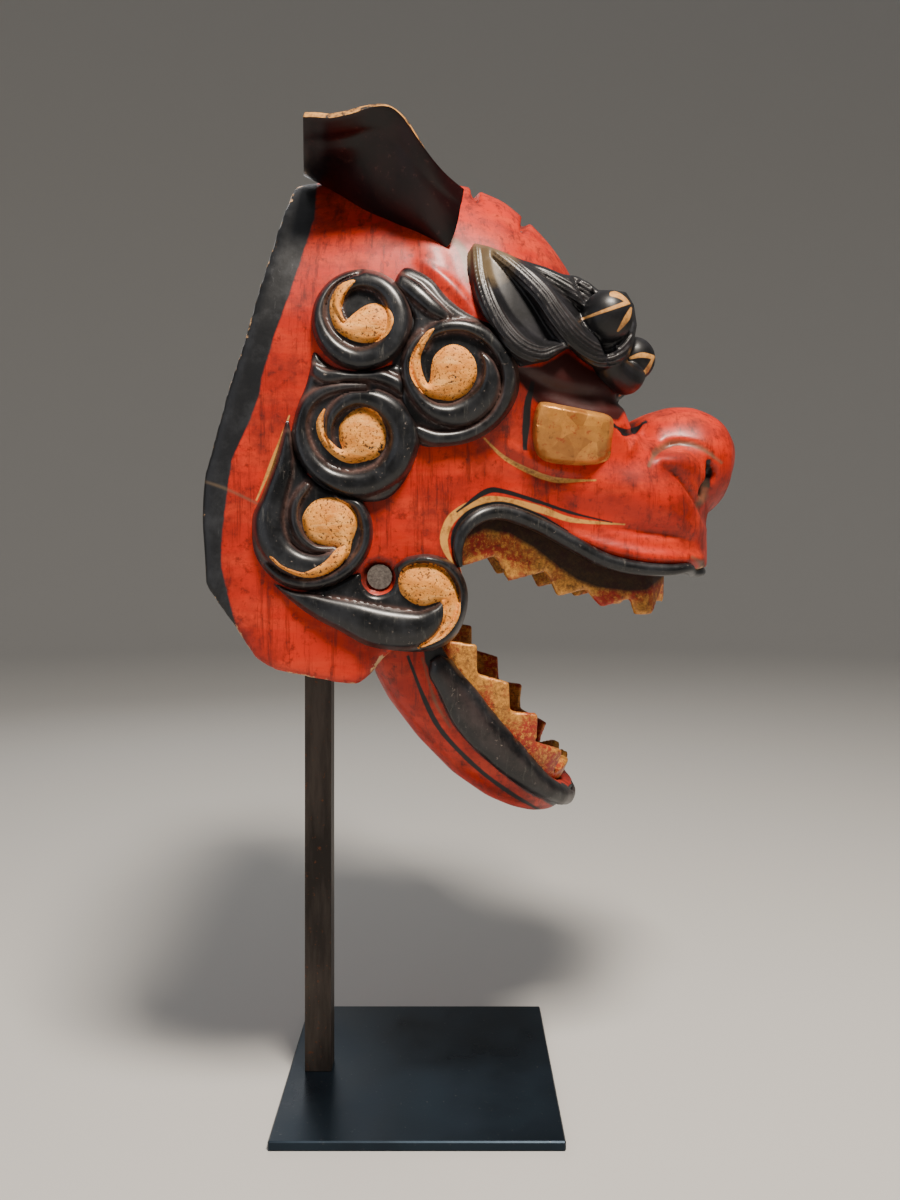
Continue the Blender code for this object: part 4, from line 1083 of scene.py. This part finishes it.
def brow_lift(pixels):
    """Height over the head's form of locks whose crests are given as places in space."""
    ground = np.array([-landed(pixel).y for pixel in pixels]) * 1000
    top = ground + 2.0
    for rows in BROW_LOCKS:
        distance, half, crest, _ = stroke(pixels, rows)
        share = distance / half
        drop = half * LOCK_ROUND * (1 - np.sqrt(np.clip(1 - share ** 2, 0, 1)))
        top = np.where(share < 1.0, np.maximum(top, crest - drop), top)
        beside = crest - half * LOCK_ROUND - (share - 1) * half * LOCK_FOOT
        top = np.where(share >= 1.0, np.maximum(top, np.minimum(beside, crest)), top)
    depth = polygon_distance(pixels, BROW_OUTLINE)
    return np.clip((top - ground) * (0.7 + 0.3 * np.clip(depth / 2.5, 0, 1)), 1, 40)


brow = patch("brow_carved_right", BROW_OUTLINE, brow_lift, sink=0.004)
ball_middle = at_depth(BALL_PIXEL, BALL_OUT)


def ball(middle, radius):
    made = bmesh.new()
    bmesh.ops.create_uvsphere(made, u_segments=32, v_segments=20, radius=radius,
                              matrix=Matrix.Translation(middle))
    return made


def rope(places, radii, sides=16):
    """A round lock through places in space."""
    rows = smooth_path([(*place, radius) for place, radius in zip(places, radii)], 6)
    runs = np.gradient(rows[:, :3], axis=0)

    def shape(u, v):
        at = np.clip(np.round(u * (len(rows) - 1)).astype(int), 0, len(rows) - 1)
        run = runs[at] / np.linalg.norm(runs[at], axis=1)[:, None]
        across = np.cross(run, (0, 0, 1))
        across /= np.linalg.norm(across, axis=1)[:, None]
        upward = np.cross(across, run)
        turn = (v * math.tau)[:, None]
        return rows[at, :3] + rows[at, 3:4] * (across * np.cos(turn) + upward * np.sin(turn))
    return wrap(len(rows) - 1, sides, shape)


bridge_from = at_depth((606, 350), 0.088)
bridge = rope(
    (bridge_from, Vector((0.118, -0.078, 0.474)), Vector((0.130, -0.062, 0.470)),
     SECOND_BALL + Vector((0.001, -0.002, -0.009))),
    (0.009, 0.0105, 0.0105, 0.008),
)
whole_brow = bmesh.new()
whole_brow.from_mesh(brow.data)
for other in (ball(ball_middle, BALL_RADIUS), bridge, ball(SECOND_BALL, SECOND_RADIUS)):
    extra = bpy.data.meshes.new("extra")
    other.to_mesh(extra)
    whole_brow.from_mesh(extra)
    bpy.data.meshes.remove(extra)
whole_brow.to_mesh(brow.data)
whole_brow.free()
combine(brow, (), BROW_VOXEL)
soften(brow, 2)
brow_points = points_of(brow.data)
brow_normals = points_of(brow.data, "normal")
brow_pixels = seen_at(brow_points)
combed = np.zeros(len(brow_points))
reach = np.zeros(len(brow_points))
for rows in BROW_LOCKS:
    distance, half, height, side = stroke(brow_pixels, rows)
    inner = np.clip(1.15 - distance / np.maximum(half, 1e-3), 0, 0.3) / 0.3
    line = np.cos(side / COMB * math.tau) * inner
    combed = np.where(height * inner > reach, line, combed)
    reach = np.maximum(reach, height * inner)
clear_of_ball = np.clip(np.hypot(*(brow_pixels - BALL_PIXEL).T) - BALL_HALF + 3, 0, 4) / 4
clear_of_ball *= brow_points[:, 1] < BRIDGE_INSIDE
toward = np.array(CAMERA_AT) - brow_points
toward /= np.linalg.norm(toward, axis=1)[:, None]
clear_of_ball *= np.clip(3 * np.sum(brow_normals * toward, axis=1) - 0.6, 0, 1)
brow_points += brow_normals * (COMB_DEEP * combed * clear_of_ball)[:, None]
brow.data.vertices.foreach_set("co", brow_points.astype(np.float32).ravel())
marks = np.max([painted(brow_pixels, rows) for rows in BALL_MARKS], axis=0)
on_ball = np.zeros(len(brow_points), bool)
for middle, radius in ((ball_middle, BALL_RADIUS), (SECOND_BALL, SECOND_RADIUS)):
    on_ball |= np.linalg.norm(brow_points - np.array(middle), axis=1) < 1.12 * radius
keep(brow.data, "gold", np.where(on_ball, marks, NOWHERE))
keep(brow.data, "comb", combed * clear_of_ball)
root_gap = np.min([np.hypot(*(brow_pixels - spot).T) for spot in BROW_ROOTS], axis=0)
keep(brow.data, "root", np.clip(1 - root_gap / ROOT_REACH, 0, 1))


def brow_finish():
    """The same black lacquer, rubbed grey on the crests of the combed lines."""
    made, tree, shader, read = finish("black_urushi_combed", 0.42, {
        "mottle": (55, 8, 0.7), "fine": (300, 6, 0.7),
    }, stored=("comb", "gold", "root"), coat=0.12)
    settled = add(tree, "ShaderNodeMapRange", {
        "Value": read["mottle"], "From Min": 0.30, "From Max": 0.50,
    })
    read["dust"] = add(tree, "ShaderNodeMath", {0: read["root"], 1: settled.outputs[0]},
                       operation="MULTIPLY").outputs[0]
    dress(tree, shader, read, (
        "#0F0F11",
        ("#242328", ("mottle", 0.45, 0.62, 0.6)),
        ("#2E211D", ("comb", -0.3, -1.0, 0.5)),
        ("#5E5858", ("comb", 0.2, 1.0, 1), ("mottle", 0.40, 0.58, 0.5)),
        ("#66563F", ("dust", 0.15, 0.6, 0.85)),
        (("#CB9352", ("#8A5C2E", ("fine", 0.45, 0.6, 0.6))), ("gold", -0.4, 0.4, 1)),
    ), "mottle", 0.2, 0.0006)
    return made


fit_pair(brow, "head", "brow_right", brow_finish())


# Eyes
# Each eye is a bulging boss under the brow, covered in leaf laid in small squares, rubbed to
# the red ground in spots.
EYE_OUTLINE = (
    (538, 404), (533, 420), (533, 440), (537, 455), (546, 462), (569, 465), (588, 465),
    (608, 461), (612, 440), (614, 424), (608, 415), (587, 410), (562, 405), (546, 402),
)
EYE_HEIGHT = 12.0
# The squares of leaf lie on flats, cut a little off their grid and a little askew
EYE_MIDDLE = (572, 428)
EYE_HALF = (46, 44)
FLAT_SIZE = 9.5
FLAT_SHIFT = 3.4
FLAT_TILT = 0.055


def eye_dome(pixels):
    spread = np.hypot(*((pixels - EYE_MIDDLE) / EYE_HALF).T)
    return EYE_HEIGHT * np.clip(1 - spread ** 2.2, 0, 1) ** 0.6


def eye_lift(pixels):
    """A bulge cut in small flats, as a chisel leaves it."""
    dice = np.random.default_rng(4)
    rows = np.meshgrid(np.arange(525, 625, FLAT_SIZE), np.arange(385, 475, FLAT_SIZE))
    grid = np.stack(rows, axis=-1).reshape(-1, 2)
    spots = grid + dice.uniform(-FLAT_SHIFT, FLAT_SHIFT, grid.shape)
    nearest = np.argmin(np.hypot(*(pixels[:, None] - spots[None]).transpose(2, 0, 1)), axis=1)
    spot = spots[nearest]
    slope = [(eye_dome(spot + step) - eye_dome(spot - step)) / 2
             for step in (np.array((1, 0)), np.array((0, 1)))]
    flats = eye_dome(spot) + np.sum(np.stack(slope, axis=1) * (pixels - spot), axis=1)
    tilt = dice.uniform(-FLAT_TILT, FLAT_TILT, spots.shape)[nearest]
    flats += np.sum(tilt * (pixels - spot), axis=1)
    height = 0.15 * eye_dome(pixels) + 0.85 * flats
    depth = polygon_distance(pixels, closed_path(EYE_OUTLINE))
    return np.clip(height, 1, EYE_HEIGHT + 1) * np.clip(depth / 4, 0, 1) ** 0.5


def leaf_finish():
    """Gold leaf laid in small squares over red: a soft metal sheen that changes by square."""
    made, tree, shader, read = finish("gold_leaf_on_red", 0.36, {
        "cloud": (60, 8, 0.7), "speck": (190, 8, 0.75),
    }, metallic=0.5)
    facets = add(tree, "ShaderNodeTexVoronoi", {"Vector": read["place"], "Scale": 120},
                 feature="SMOOTH_F1")
    read["skin"] = add(tree, "ShaderNodeMath", {
        0: facets.outputs["Distance"], 1: read["cloud"],
    }).outputs[0]
    read["flats"] = add(tree, "ShaderNodeTexVoronoi", {
        "Vector": read["place"], "Scale": 80,
    }).outputs["Color"]
    dress(tree, shader, read, (
        "#E8A250",
        ("#BC7A36", ("cloud", 0.35, 0.65, 1)),
        ("#8E5526", ("flats", 0.3, 0.7, 0.55)),
        ("#A83818", ("speck", 0.56, 0.62, 0.7)),
        ("#6E4420", ("speck", 0.40, 0.34, 0.6)),
    ), "skin", 0.35, 0.0018)
    return made


eye = patch("eye_carved_right", closed_path(EYE_OUTLINE), eye_lift)
fit_pair(eye, "head", "eye_right", leaf_finish())


# Ears
# Thin boards let into the crown, bowed like an awning: glossy maroon below, darkened with
# painted shade to near black, black above, with a chipped ochre rim.
EAR_ROOT = (
    # across, down, and how far out the root and the rim stand in metres
    (304, 176, 0.050), (321, 184, 0.056), (340, 194, 0.070), (363, 208, 0.083),
    (388, 220, 0.089), (414, 231, 0.094), (432, 240, 0.097), (446, 247, 0.099),
)
EAR_RIM = (
    (303, 117, 0.130), (316, 117, 0.132), (330, 118, 0.133), (350, 114, 0.134),
    (365, 109, 0.134), (378, 106, 0.134), (390, 107, 0.133), (400, 114, 0.131),
    (410, 127, 0.129), (421, 143, 0.126), (432, 158, 0.122), (444, 172, 0.116),
    (455, 182, 0.110), (464, 189, 0.105),
)
EAR_TONGUE = 0.12
EAR_THICK = 0.0038
EAR_BOW = 0.008
EAR_FOLD = 0.0018
EAR_FOLD_AT = 0.80
EAR_FOLD_WIDE = 0.05
EAR_STEPS = 60


def ear_board():
    root = smooth_path(EAR_ROOT, 8)
    rim = smooth_path(EAR_RIM, 5)
    made = bmesh.new()
    bmesh.ops.create_grid(made, x_segments=EAR_STEPS, y_segments=EAR_STEPS // 2, size=0.5)
    for vert in made.verts:
        share = vert.co.x + 0.5
        out = vert.co.y * (1 + EAR_TONGUE) + 0.5 - EAR_TONGUE / 2
        ends = []
        for line in (root, rim):
            row = [np.interp(share, np.linspace(0, 1, len(line)), line[:, i]) for i in range(3)]
            ends.append(at_depth(row, row[2]))
        bow = -EAR_BOW * 4 * out * (1 - out)
        fold = EAR_FOLD * math.exp(-((out - EAR_FOLD_AT) / EAR_FOLD_WIDE) ** 2)
        lift = bow + fold * min(1, share * 5)
        vert.co = ends[0].lerp(ends[1], out) + Vector((0, 0, lift))
    bmesh.ops.recalc_face_normals(made, faces=made.faces)
    down = sum(f.normal.z * f.calc_area() for f in made.faces) < 0
    if not down:
        bmesh.ops.reverse_faces(made, faces=made.faces)
    piece = made_object(made, "ear_board_right")
    for _ in range(3):
        piece.data.materials.append(None)
    wall = piece.modifiers.new("thickness", "SOLIDIFY")
    wall.thickness = EAR_THICK
    wall.offset = -1
    wall.material_offset = 1
    wall.material_offset_rim = 2
    edge_step = piece.modifiers.new("edges", "BEVEL")
    edge_step.width = 0.0008
    edge_step.segments = 2
    edge_step.limit_method = "ANGLE"
    edge_step.angle_limit = math.radians(50)
    settle(piece)
    for face in piece.data.polygons:
        if face.material_index == 2 and face.normal.x < -0.6:
            face.material_index = 1
    return piece


def maroon_shaded_finish():
    """Maroon lacquer, polished, with painted shade: near black and glossy under the board, with a
    few pale scuffs.
    """
    made, tree, shader, read = finish("maroon_urushi_shaded", 0.34, {
        "cloud": (30, 6, 0.6), "fine": (240, 8, 0.75),
    })
    dress(tree, shader, read, (
        "#0B0203",
        ("#240608", ("cloud", 0.4, 0.66, 1)),
        ("#5A3A34", ("fine", 0.60, 0.68, 0.5)),
    ), "fine", 0.12, 0.0005)
    return made


def rim_finish():
    """Ochre paint on the board's cut edge, chipped to the black below."""
    made, tree, shader, read = finish("ochre_rim_chipped", 0.6, {"chips": (170, 8, 0.72)})
    dress(tree, shader, read, (
        "#C98F48",
        ("#7E5428", ("chips", 0.42, 0.56, 1)),
        ("#1E1A19", ("chips", 0.54, 0.57, 1)),
    ), "chips", 0.5, 0.001)
    return made


ear = ear_board()
for index, material in enumerate((maroon_shaded_finish(), black_lacquer, rim_finish())):
    ear.data.materials[index] = material
far_ear = mirrored(ear, "ear_board_left")
for found, side in ((ear, "right"), (far_ear, "left")):
    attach(found, "head")
    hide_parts(f"ear_{side}")


# Upper lip
# A half-round moulding along the mouth, carved with the shell and blackened.
UPPER_LIP = (
    (460, 567, 2.5), (458, 555, 4.5), (458, 545, 5.5), (462, 532, 6.5), (473, 520, 7),
    (488, 513, 7.5), (507, 513, 8), (539, 525, 8), (572, 543, 8), (604, 560, 7.5),
    (637, 568, 7), (669, 570, 6), (688, 568, 5),
)
LIP_TURN = ((0.1775, -0.041), (0.1865, -0.026), (0.1915, 0.0))
LIP_DOWN = 0.3475
LIP_PROUD = 0.0012
LIP_FRONT = 0.0032
PIXEL_WIDE = 0.00062


def moulding(name, places, radii):
    """A bar of round section along places in space."""
    spine = bpy.data.curves.new(name, "CURVE")
    spine.dimensions = "3D"
    spine.bevel_depth = 1.0
    spine.bevel_resolution = 4
    spine.use_fill_caps = True
    line = spine.splines.new("POLY")
    line.points.add(len(places) - 1)
    for point, place, radius in zip(line.points, places, radii):
        point.co = (*place, 1)
        point.radius = radius
    found = bpy.data.objects.new(name, spine)
    bpy.context.scene.collection.objects.link(found)
    graph = bpy.context.evaluated_depsgraph_get()
    data = bpy.data.meshes.new_from_object(found.evaluated_get(graph))
    bpy.data.objects.remove(found)
    made = bmesh.new()
    made.from_mesh(data)
    bmesh.ops.remove_doubles(made, verts=made.verts, dist=1e-5)
    bmesh.ops.recalc_face_normals(made, faces=made.faces)
    bpy.data.meshes.remove(data)
    return made_object(made, name)


near = [(landed(row[:2]) - heading(row[:2]).normalized() * LIP_PROUD, row[2] * PIXEL_WIDE)
        for row in UPPER_LIP]
corner = [(Vector((x, y, LIP_DOWN)), LIP_FRONT) for x, y in LIP_TURN]
half = near + corner
whole = [(*place, radius) for place, radius in half]
whole += [(x, -y, z, radius) for x, y, z, radius in reversed(whole[:-1])]
lip_path = smooth_path(whole, 5)
upper_lip = moulding("lip_upper_carved", lip_path[:, :3], lip_path[:, 3])
upper_lip.data.materials.append(black_lacquer)
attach(upper_lip, "head")
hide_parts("upper_lip")


# Teeth
# A board cut in a zigzag stands inside each lip, covered in gold leaf over red, which
# shows through in flakes. The upper board has painted shadow under the lip.
def copied(node, name, voxel, rounds):
    """A fine copy of a plain piece, its edges eased."""
    made = bmesh.new()
    made.from_mesh(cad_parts[node].data)
    bmesh.ops.remove_doubles(made, verts=made.verts, dist=1e-5)
    piece = made_object(made, name)
    combine(piece, (), voxel)
    soften(piece, rounds)
    return piece


def tooth_finish():
    """Gold leaf flaking off red paint: broken glints, red between them, and painted shadow under
    the lip.
    """
    made, tree, shader, read = finish("gold_flake_on_red", 0.42, {
        "flake": (330, 10, 0.8), "cloud": (34, 8, 0.7), "dark": (260, 8, 0.8),
    }, stored=("soot",), metallic=0.25)
    dress(tree, shader, read, (
        "#DE9A44",
        ("#96602A", ("flake", 0.42, 0.58, 1)),
        ("#A62E20", ("cloud", 0.46, 0.56, 1), ("flake", 0.40, 0.50, 1)),
        ("#3E2010", ("dark", 0.54, 0.62, 0.7)),
        # Painted shadow under the upper lip, near black
        ("#120A08", ("soot", -2.0, 3.0, 0.94)),
    ), "flake", 0.4, 0.0007)
    return made


tooth_leaf = tooth_finish()
TOOTH_VOXEL = 0.0014
# The outline, in pixels, of the painted shadow that the upper lip casts on the top of the upper
# board
TOOTH_LIP_SHADOW = (
    (440, 560), (461, 546), (469, 538), (485, 531), (509, 535), (533, 549), (556, 567),
    (576, 581), (598, 589), (628, 593), (647, 592), (657, 584), (668, 574), (700, 560),
    (640, 480), (430, 480),
)
for node, body in (("upper_teeth", "head"), ("lower_teeth", "jaw")):
    board = copied(node, node + "_gilded", TOOTH_VOXEL, 2)
    # Only the upper board gets the painted shadow
    soot = polygon_distance(seen_at(points_of(board.data)), TOOTH_LIP_SHADOW)
    keep(board.data, "soot", soot if body == "head" else np.full(len(soot), NOWHERE))
    board.data.materials.append(tooth_leaf)
    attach(board, body)
    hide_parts(node)


# Dowel
# A plain turned dowel that the jaw swings on, its grey end grain showing in both cheeks.
def dowel_finish():
    """Turned wood gone grey: dull, with the pores of its end grain as dark dots."""
    made, tree, shader, read = finish("aged_end_grain", 0.7, {"grain": (420, 6, 0.7)})
    dress(tree, shader, read, ("#6A625C", ("#3E3732", ("grain", 0.35, 0.65, 1))),
          "grain", 0.3, 0.0006)
    return made


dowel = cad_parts["jaw_pin"]
dowel.data.materials.clear()
dowel.data.materials.append(dowel_finish())


# Jaw
# A shallow carved trough with two arms that reach up to the dowel. Outside it is red, with
# a broad black lip edged by thin lines.
JAW_VOXEL = 0.002
# How far the jaw counts as lying from an open edge, so that it chips little
JAW_RIM = 9.0
JAW_LIP = (
    (458, 622), (445, 645), (459, 668), (476, 689), (501, 721), (526, 749), (554, 779),
    (567, 782), (600, 770), (600, 830), (556, 808), (534, 796), (509, 780), (476, 752),
    (453, 725), (438, 694), (424, 661), (424, 640),
)
JAW_WHITE = (((424, 664, 0.8, 0), (435, 701, 1.4, 0), (447, 722, 0.6, 0)),)
JAW_INK = (
    ((410, 662, 1.5, 0), (426, 703, 2.4, 0), (443, 733, 2.4, 0), (476, 767, 2.2, 0),
     (509, 792, 2.0, 0), (536, 808, 1.2, 0)),
)
jaw = copied("jaw_shell", "jaw_carved", JAW_VOXEL, 12)
jaw_points = points_of(jaw.data)
jaw_pixels = seen_at(jaw_points)
jaw_normals = points_of(jaw.data, "normal")
jaw_outside = (jaw_normals[:, 1] * jaw_points[:, 1] > 0) & (jaw_normals[:, 2] < 0.6)
keep(jaw.data, "rear", np.where(jaw_outside, polygon_distance(jaw_pixels, JAW_LIP), NOWHERE))
keep_lines(jaw.data, "ink", jaw_pixels, JAW_INK, jaw_outside)
keep_lines(jaw.data, "dust", jaw_pixels, JAW_WHITE, jaw_outside)
for name in ("under", "gold_half", "seam_half", "carved"):
    keep(jaw.data, name, np.full(len(jaw_points), NOWHERE))
keep(jaw.data, "rim", np.full(len(jaw_points), JAW_RIM))
keep(jaw.data, "inside", np.zeros(len(jaw_points)))
jaw.data.materials.append(red_lacquer)
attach(jaw, "jaw")
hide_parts("jaw_shell")

LOWER_LIP = (
    (450, 657), (459, 669), (476, 688), (501, 720), (526, 748), (550, 775), (564, 781),
    (570, 787), (566, 800), (556, 806), (534, 796), (509, 780), (476, 752),
    (453, 725), (438, 694), (427, 672), (434, 660),
)
LOWER_LIP_ROUND = 13
LOWER_LIP_EDGE = 1.2
LOWER_LIP_HIGH = 4.2


def lip_lift(pixels):
    depth = polygon_distance(pixels, LOWER_LIP)
    inward = np.clip(depth / LOWER_LIP_ROUND, 0, 1)
    return LOWER_LIP_EDGE + LOWER_LIP_HIGH * np.sqrt(1 - (1 - inward) ** 2)


jaw_form = bmesh.new()
jaw_form.from_mesh(jaw.data)
side_lip = patch("lip_side_right", closed_path(LOWER_LIP), lip_lift,
                 tree=BVHTree.FromBMesh(jaw_form), sink=0.003)
far_lip = mirrored(side_lip, "lip_side_left")
lower_lip = copied("lower_lip", "lip_lower_carved", TOOTH_VOXEL, 4)
joined = bmesh.new()
for part in (lower_lip, side_lip, far_lip):
    joined.from_mesh(part.data)
joined.to_mesh(lower_lip.data)
joined.free()
jaw_form.free()
for part in (side_lip, far_lip):
    bpy.data.objects.remove(part)
combine(lower_lip, (), TOOTH_VOXEL)
soften(lower_lip, 12)
lip_pixels = seen_at(points_of(lower_lip.data))
lip_depth = polygon_distance(lip_pixels, LOWER_LIP)
keep(lower_lip.data, "dusty", np.clip(np.abs(lip_depth - 6) / 8, 0, 1) * 0.3)
lower_lip.data.materials.append(black_lacquer)
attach(lower_lip, "jaw")
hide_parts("lower_lip")
